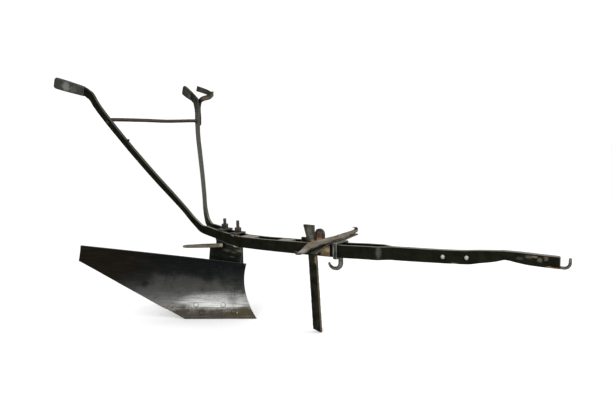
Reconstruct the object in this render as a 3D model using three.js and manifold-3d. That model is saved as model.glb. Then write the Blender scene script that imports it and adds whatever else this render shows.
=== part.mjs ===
// A single-furrow walking plough, forged in iron, that turns its slice to the right.
// Millimetres. +X is the direction of travel, +Y the land side (left), +Z up.
// While the pieces are placed, the share point is at X 0, the beam's middle plane is Y 0
// and the ground is Z 0. The finished group is then centred over its footprint.
import * as THREE from 'three';
import { mergeVertices } from 'three/addons/utils/BufferGeometryUtils.js';
import Module from 'manifold-3d';

const wasm = await Module();
wasm.setup();

// ---- Driving dimensions ----
const SEAT = 0.3; // gap left between two pieces that touch, and around a bolt in its hole

const BEAM_REACH = 1240; // share point to the front end of the beam
const BEAM_CLEARANCE = 310; // ground to the lowest point of the beam
const BAR_THICK = 12;
const BAR_TALL = 48;
const SLOT = 46; // open width between the two beam bars
const JOGGLE_START = 603; // where the bars begin to close up
const JOGGLE_END = 667; // where they lie side by side
const BEAM_REAR = -262; // where the bars turn up into the handles
const END_STAGGER = 5; // how far the left bar stops short of the right one

const HANDLE_HEIGHT = 1043; // ground to the middle of a grip's end
const HANDLE_SPREAD = 754; // between the middles of the grip ends
const HANDLE_BACK = 857; // share point back to the grip ends
const HANDLE_TALL = 38;
const HANDLE_THICK = 12;
const GRIP_TALL = 54;
const GRIP_THICK = 21;
const GRIP_OVERLAP = 34; // how far a handle's end goes into its grip
const ROD_DIAMETER = 17; // crossbar between the handles
const ROD_TENON = 10;
const ROD_PLACE = 0.733; // how far up the handles it crosses, heel 0 to grip end 1
const TWIST = { right: -0.2, left: 0.42 }; // how far each handle's flat is turned forward

const POINT_SIDE = -10; // Y of the share point and of the landside's face
const SHARE_ANGLE = 34.7; // cutting edge to the direction of travel, degrees
const SHARE_LENGTH = 315; // along the cutting edge
const SHARE_TALL = 40;
const PLATE_THICK = 8; // share and mouldboard
const DISH_RADIUS = 330; // radius of the mouldboard's hollow
const DISH_HEIGHT = 155; // height of the hollow's deepest line
const BOARD_FRONT_TALL = 237;
const BOARD_TAIL_REACH = 753; // along the share's direction, to the tail's top corner
const BOARD_TAIL_TALL = 331;
const TAIL_DROP = 74; // from the tail's top corner down to its bottom corner
const TAIL_RAKE = 28; // how much further back the bottom corner lies
const JOINT_STRAP = { thick: 6, start: 70, end: 300, low: 12, high: 72 }; // along the share, and up

const LANDSIDE_LENGTH = 560;
const LANDSIDE_TALL = 96;
const LANDSIDE_THICK = 12;

const FROG_FRONT = -60;
const FROG_REAR = -217;
const FROG_WIDTH = 60;
const FROG_FLANGE = { proud: 4, thick: 5 }; // the ledge under the beam
const STUD_DIAMETER = 15;
const STUDS = { rear: { x: -186, rise: 52 }, front: { x: -106, rise: 58 } }; // above the beam
const NUT_FLATS = 27;
const NUT_TALL = 20;
const SIDE_ARM = { root: -166, reach: 180, tall: 20 }; // root is the X where it leaves the frog

const COULTER_WIDTH = 40;
const COULTER_THICK = 12;
const COULTER_HEAD = 120; // its head over BEAM_CLEARANCE
const COULTER_TIP = 319.5; // X of the blade's middle at the ground
const COULTER_RAKE = 0.053; // how far the head leans back, for each mm up

const CROSS_BAR_PLACE = 400; // X of its middle
const CROSS_BAR_NEAR = 215; // reach on the furrow side, before its curl
const CROSS_BAR_FAR = 157; // reach on the land side, before its curl
const CROSS_BAR_THICK = 10;
const CROSS_STRAP_THICK = 6;
const STIRRUP_PLACE = 438;
const STIRRUP_WIDTH = 18;
const STIRRUP_THICK = 6;
const DRAG_HOOK_DIAMETER = 20;
const DRAG_HOOK_REACH = 28; // half the bow's width
const DRAG_HOOK_DROP = 25;
const NOSE_HOOK_DIAMETER = 11;
const NOSE_HOOK_RADIUS = 18;
const NOSE_HOOK_SHANK = 58;
const RIVET_DIAMETER = 9;

// ---- Finishes ----
const FINISHES = {
  blackIron: { color: 0x1d1e17, roughness: 0.6, metalness: 0.6 },
  wornIron: { color: 0x3a3833, roughness: 0.55, metalness: 0.7 },
  brownIron: { color: 0x5c5148, roughness: 0.7, metalness: 0.5 },
  weatheredIron: { color: 0x857d72, roughness: 0.8, metalness: 0.3 },
  rustyIron: { color: 0x8a6450, roughness: 0.9, metalness: 0.2 },
  castIron: { color: 0x2c2f2b, roughness: 0.75, metalness: 0.5 },
  plateSteel: { color: 0x3b413f, roughness: 0.4, metalness: 0.85 },
  brightSteel: { color: 0xb9b7b0, roughness: 0.3, metalness: 0.9 },
};

// ---- Making solids ----
const plough = new THREE.Group();
const vector = (x, y, z) => new THREE.Vector3(x, y, z);

function toSolid(geometry) {
  const bare = geometry.clone();
  bare.deleteAttribute('normal');
  bare.deleteAttribute('uv');
  const merged = mergeVertices(bare, 1e-4);
  return new wasm.Manifold(new wasm.Mesh({
    numProp: 3,
    vertProperties: new Float32Array(merged.attributes.position.array),
    triVerts: new Uint32Array(merged.index.array),
  }));
}

function toGeometry(solid) {
  const mesh = solid.getMesh();
  const geometry = new THREE.BufferGeometry();
  geometry.setAttribute('position', new THREE.BufferAttribute(mesh.vertProperties, 3));
  geometry.setIndex(new THREE.BufferAttribute(mesh.triVerts, 1));
  geometry.computeVertexNormals();
  return geometry;
}

const join = (...geometries) => geometries.map(toSolid).reduce((all, next) => all.add(next));
const cut = (solid, ...geometries) => geometries.map(toSolid)
  .reduce((left, tool) => left.subtract(tool), solid);

// One named sub-part with its own material.
function addPiece(name, solid, finish) {
  const mesh = new THREE.Mesh(toGeometry(solid), new THREE.MeshStandardMaterial(FINISHES[finish]));
  mesh.name = name;
  plough.add(mesh);
}

function block(x0, x1, y0, y1, z0, z1) {
  const box = new THREE.BoxGeometry(x1 - x0, y1 - y0, z1 - z0);
  return box.translate((x0 + x1) / 2, (y0 + y1) / 2, (z0 + z1) / 2);
}

const outline = (points) => new THREE.Shape(points.map(([a, b]) => new THREE.Vector2(a, b)));

// An outline of [x, z] points, extruded across the plough from y0 to y1.
function sideProfile(points, y0, y1) {
  const shape = Array.isArray(points) ? outline(points) : points;
  const bevelEnabled = false;
  return new THREE.ExtrudeGeometry(shape, { depth: y1 - y0, curveSegments: 12, bevelEnabled })
    .rotateX(Math.PI / 2)
    .translate(0, y1, 0);
}

// An outline of [x, y] points, extruded upward from z0 to z1.
function planProfile(points, z0, z1) {
  return new THREE.ExtrudeGeometry(outline(points), { depth: z1 - z0, bevelEnabled: false })
    .translate(0, 0, z0);
}

// Sections of unit size for the sweeps: a flat bar, a round rod and a flattened tube.
const SECTIONS = {
  flat: outline([[-0.5, -0.5], [0.5, -0.5], [0.5, 0.5], [-0.5, 0.5]]),
  round: new THREE.Shape().absellipse(0, 0, 0.5, 0.5, 0, Math.PI * 2),
  tube: new THREE.Shape().absellipse(0, 0.29, 0.5, 0.21, 0, Math.PI)
    .absellipse(0, -0.29, 0.5, 0.21, Math.PI, Math.PI * 2),
};

// The directions of a bar that travels along `travel`: its thickness lies as near to `flat` as
// the travel allows, and its height square to both.
function barFrame(travel, flat) {
  const along = travel.clone().normalize();
  const across = vector(...flat);
  across.addScaledVector(along, -across.dot(along)).normalize();
  return { along, across, up: along.clone().cross(across) };
}

// A bar swept through stations { at, thick, tall }. A station's own `travel` sets the way its
// section faces, otherwise it faces between the stations beside it. Its own `turn` replaces `flat`.
function sweep(stations, flat, section = SECTIONS.flat) {
  const last = stations.length - 1;
  const places = stations.map(({ at }) => vector(...at));
  const frames = stations.map(({ travel, turn }, i) => {
    const into = places[i].clone().sub(places[Math.max(i - 1, 0)]).normalize();
    const onward = places[Math.min(i + 1, last)].clone().sub(places[i]).normalize();
    return barFrame(travel ? vector(...travel) : into.add(onward), turn ?? flat);
  });
  const geometry = new THREE.ExtrudeGeometry(section, {
    depth: last,
    steps: last,
    curveSegments: 8,
    bevelEnabled: false,
  });
  const position = geometry.attributes.position;
  for (let i = 0; i < position.count; i += 1) {
    const k = Math.round(position.getZ(i));
    const point = places[k].clone()
      .addScaledVector(frames[k].across, position.getX(i) * stations[k].thick)
      .addScaledVector(frames[k].up, position.getY(i) * stations[k].tall);
    position.setXYZ(i, point.x, point.y, point.z);
  }
  return geometry;
}

// A shape made along +Z, turned to point along `direction` with its foot at `at`.
function stand(geometry, at, direction) {
  const turn = new THREE.Quaternion()
    .setFromUnitVectors(vector(0, 0, 1), direction.clone().normalize());
  return geometry.applyQuaternion(turn).translate(at.x, at.y, at.z);
}

function cylinder(diameter, length, sides = 20) {
  return new THREE.CylinderGeometry(diameter / 2, diameter / 2, length, sides)
    .rotateX(Math.PI / 2)
    .translate(0, 0, length / 2);
}

// Turned along +Z from [radius, z] points that start and end on the axis.
function turned(points, sides = 20) {
  const profile = points.map(([radius, z]) => new THREE.Vector2(radius, z));
  return new THREE.LatheGeometry(profile, sides).rotateX(Math.PI / 2);
}

const hexagon = (flats, tall) => cylinder(flats / Math.cos(Math.PI / 6), tall, 6);

// Straight-line reading of a table whose rows start with x.
function readTable(rows, x, column) {
  const next = rows.findIndex((row) => row[0] >= x);
  if (next === 0) return rows[0][column];
  if (next < 0) return rows[rows.length - 1][column];
  const [before, after] = [rows[next - 1], rows[next]];
  const share = (x - before[0]) / (after[0] - before[0]);
  return before[column] + share * (after[column] - before[column]);
}

// ---- Beam: two bars on edge, side by side at the front and a slot's width apart behind ----
const barMiddle = SLOT / 2 + BAR_THICK / 2;
const barTogether = BAR_THICK / 2 + SEAT / 2;
const beamHalf = SLOT / 2 + BAR_THICK;
const nose = (share) => JOGGLE_END + share * (BEAM_REACH - JOGGLE_END);

// Columns: x, middle line above BEAM_CLEARANCE, height as a share of BAR_TALL, bar's Y.
const BEAM_LINE = [
  [BEAM_REAR, 55, 0.83, barMiddle],
  [-210, 45.5, 0.83, barMiddle],
  [-160, 37, 0.88, barMiddle],
  [-110, 30, 0.94, barMiddle],
  [-62, 23.5, 0.97, barMiddle],
  [20, 23.5, 0.98, barMiddle],
  [150, 26, 1, barMiddle],
  [345, 31.5, 1.02, barMiddle],
  [477, 35.5, 1.02, barMiddle],
  [547, 39.5, 1.02, barMiddle],
  [JOGGLE_START, 42, 1.02, barMiddle],
  [JOGGLE_END, 44.5, 1, barTogether],
  [nose(0.06), 46, 1, barTogether],
  [nose(0.34), 54, 0.96, barTogether],
  [nose(0.49), 60, 0.96, barTogether],
  [nose(0.55), 65.5, 0.9, barTogether],
  [nose(0.65), 74, 0.75, barTogether],
  [nose(0.715), 80, 0.61, barTogether],
  [nose(0.78), 78, 0.71, barTogether],
  [nose(0.85), 75.5, 0.78, barTogether],
  [BEAM_REACH, 74, 0.79, barTogether],
];
const beamMiddle = (x) => BEAM_CLEARANCE + readTable(BEAM_LINE, x, 1);
const barTall = (x) => BAR_TALL * readTable(BEAM_LINE, x, 2);
const beamTop = (x) => beamMiddle(x) + barTall(x) / 2;
const beamBottom = (x) => beamMiddle(x) - barTall(x) / 2;

const NOSE_RIVETS = { rear: nose(0.343), front: nose(0.49) };
const noseRivetHole = (x) => stand(
  cylinder(RIVET_DIAMETER + 2 * SEAT, 4 * BAR_THICK),
  vector(x, -2 * BAR_THICK, beamMiddle(x)),
  vector(0, 1, 0),
);

// The nose hook's shank lies in a round groove between the bars.
const noseHookLine = beamBottom(BEAM_REACH) + 0.35 * NOSE_HOOK_DIAMETER;
const noseHookGroove = () => stand(
  cylinder(NOSE_HOOK_DIAMETER + 2 * SEAT, 2 * NOSE_HOOK_SHANK),
  vector(BEAM_REACH - NOSE_HOOK_SHANK - SEAT, 0, noseHookLine),
  vector(1, 0, 0),
);

function beamBar(side) {
  const stations = BEAM_LINE.map(([x, , , y]) => ({
    at: [x, side * y, beamMiddle(x)],
    thick: BAR_THICK,
    tall: barTall(x),
    travel: [1, 0, 0],
  }));
  stations[stations.length - 1].at[0] -= side > 0 ? END_STAGGER : 0;
  const holes = Object.values(NOSE_RIVETS).map(noseRivetHole);
  return cut(toSolid(sweep(stations, [0, 1, 0])), ...holes, noseHookGroove());
}

addPiece('right_beam_bar', beamBar(-1), 'blackIron');
addPiece('left_beam_bar', beamBar(1), 'blackIron');

function noseRivet(x) {
  const reach = BAR_THICK + SEAT / 2;
  const head = [[0.85, 0], [0.75, 2.4], [0.4, 4]].map(([r, z]) => [r * RIVET_DIAMETER, z]);
  const shank = RIVET_DIAMETER / 2;
  const under = reach + SEAT;
  const profile = [
    [0, -under - 4],
    ...head.map(([r, z]) => [r, -under - z]).reverse(),
    [shank, -under],
    [shank, under],
    ...head.map(([r, z]) => [r, under + z]),
    [0, under + 4],
  ];
  return stand(turned(profile), vector(x, 0, beamMiddle(x)), vector(0, 1, 0));
}
for (const [place, x] of Object.entries(NOSE_RIVETS)) {
  addPiece(`${place}_nose_rivet`, toSolid(noseRivet(x)), 'brightSteel');
}

// A round hook, open upward, whose shank is held between the bars.
function noseHook() {
  const bend = { x: BEAM_REACH + 9, z: noseHookLine + NOSE_HOOK_RADIUS };
  const turns = [-90, -60, -30, 0].map((degrees) => {
    const angle = THREE.MathUtils.degToRad(degrees);
    return {
      at: [bend.x + NOSE_HOOK_RADIUS * Math.cos(angle), 0, bend.z + NOSE_HOOK_RADIUS * Math.sin(angle)],
      scale: 1,
    };
  });
  const tip = { at: [bend.x + NOSE_HOOK_RADIUS, 0, bend.z + 0.8 * NOSE_HOOK_RADIUS], scale: 0.7 };
  const start = { at: [BEAM_REACH - NOSE_HOOK_SHANK, 0, noseHookLine], scale: 1 };
  const stations = [start, ...turns, tip].map(({ at, scale }) => (
    { at, thick: scale * NOSE_HOOK_DIAMETER, tall: scale * NOSE_HOOK_DIAMETER }));
  return sweep(stations, [0, 1, 0], SECTIONS.round);
}
addPiece('nose_hook', toSolid(noseHook()), 'wornIron');

// ---- Handles: each beam bar runs on up and back, leaning outward ----
const heel = vector(BEAM_REAR, barMiddle, beamMiddle(BEAM_REAR));
const gripEnd = vector(-HANDLE_BACK, HANDLE_SPREAD / 2, HANDLE_HEIGHT);

// Columns: shares of the way from the heel to the grip end (up, back, out), share of the twist,
// share of HANDLE_TALL.
const HANDLE_LINE = [
  [0, 0, 0, 0, barTall(BEAM_REAR) / HANDLE_TALL],
  [0.01, 0.064, 0.002, 0, 0.94],
  [0.038, 0.108, 0.012, 0.2, 0.88],
  [0.082, 0.151, 0.046, 0.6, 0.87],
  [0.125, 0.183, 0.081, 0.9, 0.9],
  [0.199, 0.235, 0.155, 1, 0.95],
  [0.347, 0.347, 0.308, 1, 1],
  [0.494, 0.4555, 0.448, 0.9, 1],
  [0.642, 0.559, 0.584, 0.7, 1],
  [0.745, 0.621, 0.681, 0.4, 1],
  [0.848, 0.678, 0.77, 0.2, 1],
  [0.898, 0.709, 0.794, 0, 1],
  [0.93, 0.765, 0.813, 0, 1],
];
const handleFlat = (side, up) => (
  [(side < 0 ? TWIST.right : TWIST.left) * readTable(HANDLE_LINE, up, 3), side, 0]);
const handlePoint = (side, up) => vector(
  THREE.MathUtils.lerp(heel.x, gripEnd.x, readTable(HANDLE_LINE, up, 1)),
  side * THREE.MathUtils.lerp(heel.y, gripEnd.y, readTable(HANDLE_LINE, up, 2)),
  THREE.MathUtils.lerp(heel.z, gripEnd.z, up),
);
const gripEndPoint = (side) => vector(gripEnd.x, side * gripEnd.y, gripEnd.z);
const gripRoot = (side) => handlePoint(side, HANDLE_LINE[HANDLE_LINE.length - 1][0]);

// Where a handle is at a share of its height, with its directions: `out` faces away from the
// beam, and `front` is the edge towards the beam's nose.
function handleFrame(side, up) {
  const step = 0.02;
  const travel = handlePoint(side, up + step).sub(handlePoint(side, up - step));
  const { along, across, up: edge } = barFrame(travel, handleFlat(side, up));
  return { at: handlePoint(side, up), along, out: across, front: edge.multiplyScalar(-side) };
}

const offset = (point, ...moves) => moves
  .reduce((moved, [direction, distance]) => moved.addScaledVector(direction, distance), point.clone());

function rodHole(side) {
  const { at, out } = handleFrame(side, ROD_PLACE);
  return stand(cylinder(ROD_TENON + 2 * SEAT, 60), offset(at, [out, -30]), out);
}

const STUB_PLACE = 0.59; // how far up the right handle its short pin stands
const STUB = { diameter: 11, sunk: 8, proud: 11 };
function stubPin(clearance) {
  const { at, front } = handleFrame(-1, STUB_PLACE);
  const foot = offset(at, [front, HANDLE_TALL / 2 - STUB.sunk - clearance]);
  const pin = cylinder(STUB.diameter + 2 * clearance, STUB.sunk + STUB.proud + clearance, 12);
  return stand(pin, foot, front);
}

// The whole bar of a handle, with `room` added all round its section.
function handleBar(side, room) {
  const size = (share) => ({ thick: HANDLE_THICK + 2 * room, tall: share * HANDLE_TALL + 2 * room });
  const stations = HANDLE_LINE.map(([up, , , , share], i) => ({
    at: handlePoint(side, up).toArray(),
    travel: i === 0 ? [-1, 0, 0] : undefined,
    turn: handleFlat(side, up),
    ...size(share),
  }));
  stations[0].at[0] -= SEAT;
  const root = gripRoot(side);
  const intoGrip = gripEndPoint(side).sub(root).setLength(GRIP_OVERLAP);
  stations[stations.length - 1].travel = intoGrip.toArray();
  stations.push({ at: intoGrip.add(root).toArray(), ...size(1) });
  return sweep(stations, [0, side, 0]);
}

function handle(side) {
  const bar = cut(toSolid(handleBar(side, 0)), rodHole(side));
  return side < 0 ? cut(bar, stubPin(SEAT)) : bar;
}

// A flattened sleeve with a blunt rounded end, closed over the handle's end.
function grip(side) {
  const root = gripRoot(side);
  const travel = gripEndPoint(side).sub(root);
  const length = travel.length();
  const stationAt = (distance, share) => ({
    at: offset(root, [travel.clone().normalize(), distance]).toArray(),
    thick: share * GRIP_THICK,
    tall: share * GRIP_TALL,
    travel: travel.toArray(),
  });
  const sleeve = sweep([
    stationAt(2, 0.84),
    stationAt(0.3 * length, 0.92),
    stationAt(0.7 * length, 1),
    stationAt(length - 16, 0.99),
    stationAt(length - 6, 0.9),
    stationAt(length, 0.68),
  ], [0, side, 0], SECTIONS.tube);
  const pocketSize = { thick: HANDLE_THICK + 2 * SEAT, tall: HANDLE_TALL + 2 * SEAT };
  const pocket = sweep([
    { ...stationAt(-2, 1), ...pocketSize },
    { ...stationAt(GRIP_OVERLAP + SEAT, 1), ...pocketSize },
  ], [0, side, 0]);
  return cut(toSolid(sleeve), pocket);
}

for (const [name, side] of [['right', -1], ['left', 1]]) {
  addPiece(`${name}_handle`, handle(side), 'blackIron');
  addPiece(`${name}_grip`, grip(side), 'wornIron');
}
addPiece('handle_stub_pin', toSolid(stubPin(0)), 'wornIron');

// The crossbar: a round rod, bent square to each handle, whose tenons are peened outside.
const REIN_STRAP = { thick: 5, wide: 28 };
function crossbar() {
  const face = HANDLE_THICK / 2;
  const round = { thick: ROD_DIAMETER, tall: ROD_DIAMETER };
  const ends = [-1, 1].map((side) => {
    const { at, out } = handleFrame(side, ROD_PLACE);
    const outside = face + 2 * SEAT + (side > 0 ? REIN_STRAP.thick + SEAT : 0);
    const inward = offset(at, [out, -face - 14]);
    const head = turned([[0, 0], [0.9, 0], [0.75, 0.35], [0.35, 0.5], [0, 0.5]]
      .map(([r, z]) => [r * ROD_TENON, z * ROD_TENON]));
    return {
      stations: [offset(at, [out, -face]), inward, offset(inward, [vector(0, -side, 0), 16])],
      tenon: stand(cylinder(ROD_TENON, face + outside + 8), offset(at, [out, -face - 8]), out),
      head: stand(head, offset(at, [out, outside]), out),
    };
  });
  const stations = [...ends[0].stations, ...ends[1].stations.reverse()]
    .map((place) => ({ at: place.toArray(), ...round }));
  stations[0].travel = handleFrame(-1, ROD_PLACE).out.negate().toArray();
  stations[stations.length - 1].travel = handleFrame(1, ROD_PLACE).out.toArray();
  const rod = cut(
    toSolid(sweep(stations, [0, 0, 1], SECTIONS.round)),
    handleBar(-1, SEAT),
    handleBar(1, SEAT),
  );
  return rod.add(join(ends[0].tenon, ends[0].head)).add(join(ends[1].tenon, ends[1].head));
}
addPiece('handle_crossbar', crossbar(), 'brownIron');

// A flat strap riveted outside the left handle, turned forward at the top and folded back.
function reinHook() {
  const outFace = HANDLE_THICK / 2 + SEAT + REIN_STRAP.thick / 2;
  const onHandle = (up) => {
    const { at, out, front } = handleFrame(1, up);
    return offset(at, [out, outFace], [front, 8]);
  };
  const size = (tall) => ({ thick: REIN_STRAP.thick, tall });
  const top = offset(onHandle(0.868), [vector(0, 1, 0), 8]);
  const ahead = (x, y, z) => top.clone().add(vector(x, y, z)).toArray();
  const run = sweep([
    ...[0.7, 0.745, 0.845].map((up) => ({
      at: onHandle(up).toArray(),
      travel: handleFrame(1, up).along.toArray(),
      turn: handleFlat(1, up),
      ...size(REIN_STRAP.wide),
    })),
    { at: ahead(3, 0, 18), ...size(1.1 * REIN_STRAP.wide) },
    { at: ahead(28, 0, 26), ...size(0.95 * REIN_STRAP.wide) },
    { at: ahead(72, 0, 32), ...size(0.95 * REIN_STRAP.wide) },
    { at: ahead(100, 0, 47), ...size(0.85 * REIN_STRAP.wide) },
  ], [0, 1, 0]);
  const besideRun = -REIN_STRAP.thick;
  const tongue = sweep([
    { at: ahead(102, besideRun, 45), ...size(0.85 * REIN_STRAP.wide) },
    { at: ahead(60, besideRun - 8, 60), ...size(0.95 * REIN_STRAP.wide) },
    { at: ahead(8, besideRun - 20, 78), ...size(REIN_STRAP.wide) },
  ], [0, -1, 0]);
  const fold = vector(...ahead(100, besideRun / 2, 46 - 0.36 * REIN_STRAP.wide));
  const bend = stand(
    cylinder(2.2 * REIN_STRAP.thick, 0.72 * REIN_STRAP.wide, 12),
    fold,
    vector(0, 0, 1),
  );
  return cut(join(run, tongue, bend), rodHole(1), handleBar(1, SEAT));
}
addPiece('rein_hook', reinHook(), 'brownIron');

// ---- Ground-working plates: share and mouldboard are one hollow surface ----
const shareTurn = THREE.MathUtils.degToRad(SHARE_ANGLE);
const alongShare = vector(-Math.cos(shareTurn), -Math.sin(shareTurn), 0);
const behindShare = vector(-Math.sin(shareTurn), Math.cos(shareTurn), 0);
const sharePoint = vector(0, POINT_SIDE, 0);
const dishCentre = -Math.sqrt(DISH_RADIUS ** 2 - DISH_HEIGHT ** 2);
const dishDepth = (z) => dishCentre + Math.sqrt(DISH_RADIUS ** 2 - (z - DISH_HEIGHT) ** 2);

// A point of the front surface, at a distance along the share and a height.
const boardPoint = (along, z) => offset(
  sharePoint,
  [alongShare, along],
  [behindShare, dishDepth(z)],
  [vector(0, 0, 1), z],
);
const boardNormal = (z) => {
  const lean = Math.asin((z - DISH_HEIGHT) / DISH_RADIUS);
  return offset(vector(0, 0, Math.sin(lean)), [behindShare, Math.cos(lean)]).normalize();
};

// The hollow slab between two depths behind the front surface, cut to an outline of
// [distance along the share, height] points.
function boardSlab(points, front, back) {
  const [low, high] = [-31, 39].map(THREE.MathUtils.degToRad);
  const ring = new THREE.Shape()
    .absarc(dishCentre, DISH_HEIGHT, DISH_RADIUS + back, low, high, false)
    .absarc(dishCentre, DISH_HEIGHT, DISH_RADIUS + front, high, low, true);
  const length = BOARD_TAIL_REACH + 200;
  const slab = new THREE.ExtrudeGeometry(
    ring,
    { depth: length, curveSegments: 14, bevelEnabled: false },
  );
  const slabStart = offset(sharePoint, [alongShare, length - 100]);
  slab.applyMatrix4(new THREE.Matrix4()
    .makeBasis(behindShare, vector(0, 0, 1), alongShare.clone().negate())
    .setPosition(slabStart));
  const prism = new THREE.ExtrudeGeometry(outline(points), { depth: 500, bevelEnabled: false });
  prism.applyMatrix4(new THREE.Matrix4()
    .makeBasis(alongShare, vector(0, 0, 1), behindShare)
    .setPosition(offset(sharePoint, [behindShare, -250])));
  return toSolid(slab).intersect(toSolid(prism));
}

const tailTop = [BOARD_TAIL_REACH, BOARD_TAIL_TALL];
const tailBottom = [BOARD_TAIL_REACH + TAIL_RAKE, BOARD_TAIL_TALL - TAIL_DROP];
const wing = [SHARE_LENGTH, 0];
// Where the lower edge, from the share's wing to the tail, is at a height.
const lowerEdge = (z) => {
  const share = z / tailBottom[1];
  const belly = 24 * Math.sin(Math.PI * share);
  return THREE.MathUtils.lerp(wing[0], tailBottom[0], share) + belly;
};
const landWall = () => block(-900, 300, POINT_SIDE, 400, -50, 600);

function share() {
  const points = [[-80, 0], wing, [lowerEdge(SHARE_TALL), SHARE_TALL], [-80, SHARE_TALL]];
  const blank = cut(boardSlab(points, 0, PLATE_THICK), landWall());
  // The edge is ground away from behind.
  const grind = outline([[2.5, -1], [30, -1], [30, 18]]);
  const wedge = new THREE.ExtrudeGeometry(grind, { depth: SHARE_LENGTH + 300, bevelEnabled: false });
  wedge.applyMatrix4(new THREE.Matrix4()
    .makeBasis(behindShare, vector(0, 0, 1), alongShare.clone().negate())
    .setPosition(offset(sharePoint, [alongShare, SHARE_LENGTH + 150])));
  return cut(blank, wedge);
}

function mouldboard() {
  const seam = SHARE_TALL + SEAT;
  const bellyHeights = [0.25, 0.5, 0.75].map((part) => THREE.MathUtils.lerp(seam, tailBottom[1], part));
  return cut(boardSlab([
    [-80, seam],
    [lowerEdge(seam), seam],
    ...bellyHeights.map((z) => [lowerEdge(z), z]),
    tailBottom,
    tailTop,
    [45, BOARD_FRONT_TALL],
    [-80, BOARD_FRONT_TALL],
  ], 0, PLATE_THICK), landWall());
}

// Countersunk plough bolts through the plates: along the share, height, length, with a nut.
const BOLT = { head: 22, shank: 11, sunk: 6 };
const BOARD_BOLTS = {
  upper_board_bolt: { along: 160, z: 213, length: 44, nut: false },
  lower_board_bolt: { along: 109, z: 121, length: 44, nut: false },
  inner_share_bolt: { along: 102, z: 27, length: 24, nut: false },
  outer_share_bolt: { along: 242, z: 24, length: 30, nut: true },
  inner_strap_bolt: { along: 150, z: 56, length: 24, nut: false },
  outer_strap_bolt: { along: 270, z: 56, length: 30, nut: true },
};
function countersunk(clearance, length) {
  const head = BOLT.head / 2 + 1.3 * clearance;
  const shank = BOLT.shank / 2 + clearance;
  return turned([[0, 0], [head, 0], [shank, BOLT.sunk], [shank, length], [0, length]]);
}
function boardBolt({ along, z, length, nut }) {
  const normal = boardNormal(z);
  const place = offset(boardPoint(along, z), [normal, 0.4]);
  const bolt = stand(countersunk(0, length), place, normal);
  if (!nut) return toSolid(bolt);
  const behind = PLATE_THICK + JOINT_STRAP.thick + 3 * SEAT;
  return join(bolt, stand(hexagon(19, 9), offset(place, [normal, behind]), normal));
}
const boardBoltHole = ({ along, z, length }) => {
  const normal = boardNormal(z);
  const place = offset(boardPoint(along, z), [normal, 0.4]);
  return stand(countersunk(SEAT, length + 2 * SEAT), place, normal);
};
const boardBoltHoles = () => Object.values(BOARD_BOLTS).map(boardBoltHole);

addPiece('share', cut(share(), ...boardBoltHoles()), 'plateSteel');
addPiece('mouldboard', cut(mouldboard(), ...boardBoltHoles()), 'plateSteel');
for (const [name, bolt] of Object.entries(BOARD_BOLTS)) {
  addPiece(name, boardBolt(bolt), 'wornIron');
}

// A strap behind the seam joins share and mouldboard.
const strapOutline = (grow) => {
  const [start, end] = [JOINT_STRAP.start - grow, JOINT_STRAP.end + grow];
  const [low, high] = [JOINT_STRAP.low - grow, JOINT_STRAP.high + grow];
  return [[start, low], [end, low], [end, high], [start, high]];
};
const strapBack = PLATE_THICK + SEAT + JOINT_STRAP.thick;
addPiece(
  'joint_strap',
  cut(boardSlab(strapOutline(0), PLATE_THICK + SEAT, strapBack), ...boardBoltHoles()),
  'wornIron',
);

// Everything that the plates and the strap take up, grown by the seat.
const plateSpace = () => boardSlab([
  [-80, -20],
  [BOARD_TAIL_REACH + TAIL_RAKE + 20, -20],
  [BOARD_TAIL_REACH + TAIL_RAKE + 20, BOARD_TAIL_TALL + 2],
  [45, BOARD_FRONT_TALL + 1],
  [-80, BOARD_FRONT_TALL + 1],
], -60, PLATE_THICK + SEAT).add(boardSlab(strapOutline(1), 0, strapBack + SEAT));

// ---- Landside: the flat bar that slides along the furrow wall ----
const landInner = POINT_SIDE - LANDSIDE_THICK;
const LANDSIDE_BOLTS = { front_landside_bolt: -178, rear_landside_bolt: -240 };
const landsideBolt = (x, clearance) => stand(
  countersunk(clearance, 40 + 2 * clearance),
  vector(x, POINT_SIDE - 0.4, 0.55 * LANDSIDE_TALL),
  vector(0, -1, 0),
);
const landsideHoles = () => Object.values(LANDSIDE_BOLTS).map((x) => landsideBolt(x, SEAT));
const landside = sideProfile([
  [0, 0],
  [-LANDSIDE_LENGTH, 0],
  [-LANDSIDE_LENGTH, 0.7 * LANDSIDE_TALL],
  [-LANDSIDE_LENGTH + 60, LANDSIDE_TALL],
  [0, LANDSIDE_TALL],
], landInner, POINT_SIDE);
addPiece(
  'landside',
  cut(toSolid(landside).subtract(plateSpace()), ...landsideHoles()),
  'wornIron',
);
for (const [name, x] of Object.entries(LANDSIDE_BOLTS)) {
  addPiece(name, toSolid(landsideBolt(x, 0)), 'wornIron');
}

// ---- Frog: the casting that carries the plates, the landside and the beam ----
const beamKnots = BEAM_LINE.map(([x]) => x).filter((x) => x > FROG_REAR && x < FROG_FRONT);
const underBeam = [FROG_REAR, ...beamKnots, FROG_FRONT].map((x) => [x, beamBottom(x) - SEAT]);
const frogShoulder = BEAM_CLEARANCE - 10;
const frogWaist = BOARD_FRONT_TALL - 12;
// The body behind the plates: where it starts, turns and ends, its depth there, its foot's height.
const FROG_BODY = {
  front: FROG_FRONT - 20,
  corner: FROG_FRONT - 80,
  rear: FROG_REAR - 53,
  heelDepth: 58,
  foot: 18,
};
const onShareLine = (x) => POINT_SIDE + x * Math.tan(shareTurn);
const stud = ({ x, rise }, clearance) => {
  const foot = beamBottom(x) - 40 - clearance;
  const length = beamTop(x) + rise - foot;
  return stand(cylinder(STUD_DIAMETER + 2 * clearance, length), vector(x, 0, foot), vector(0, 0, 1));
};

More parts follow.
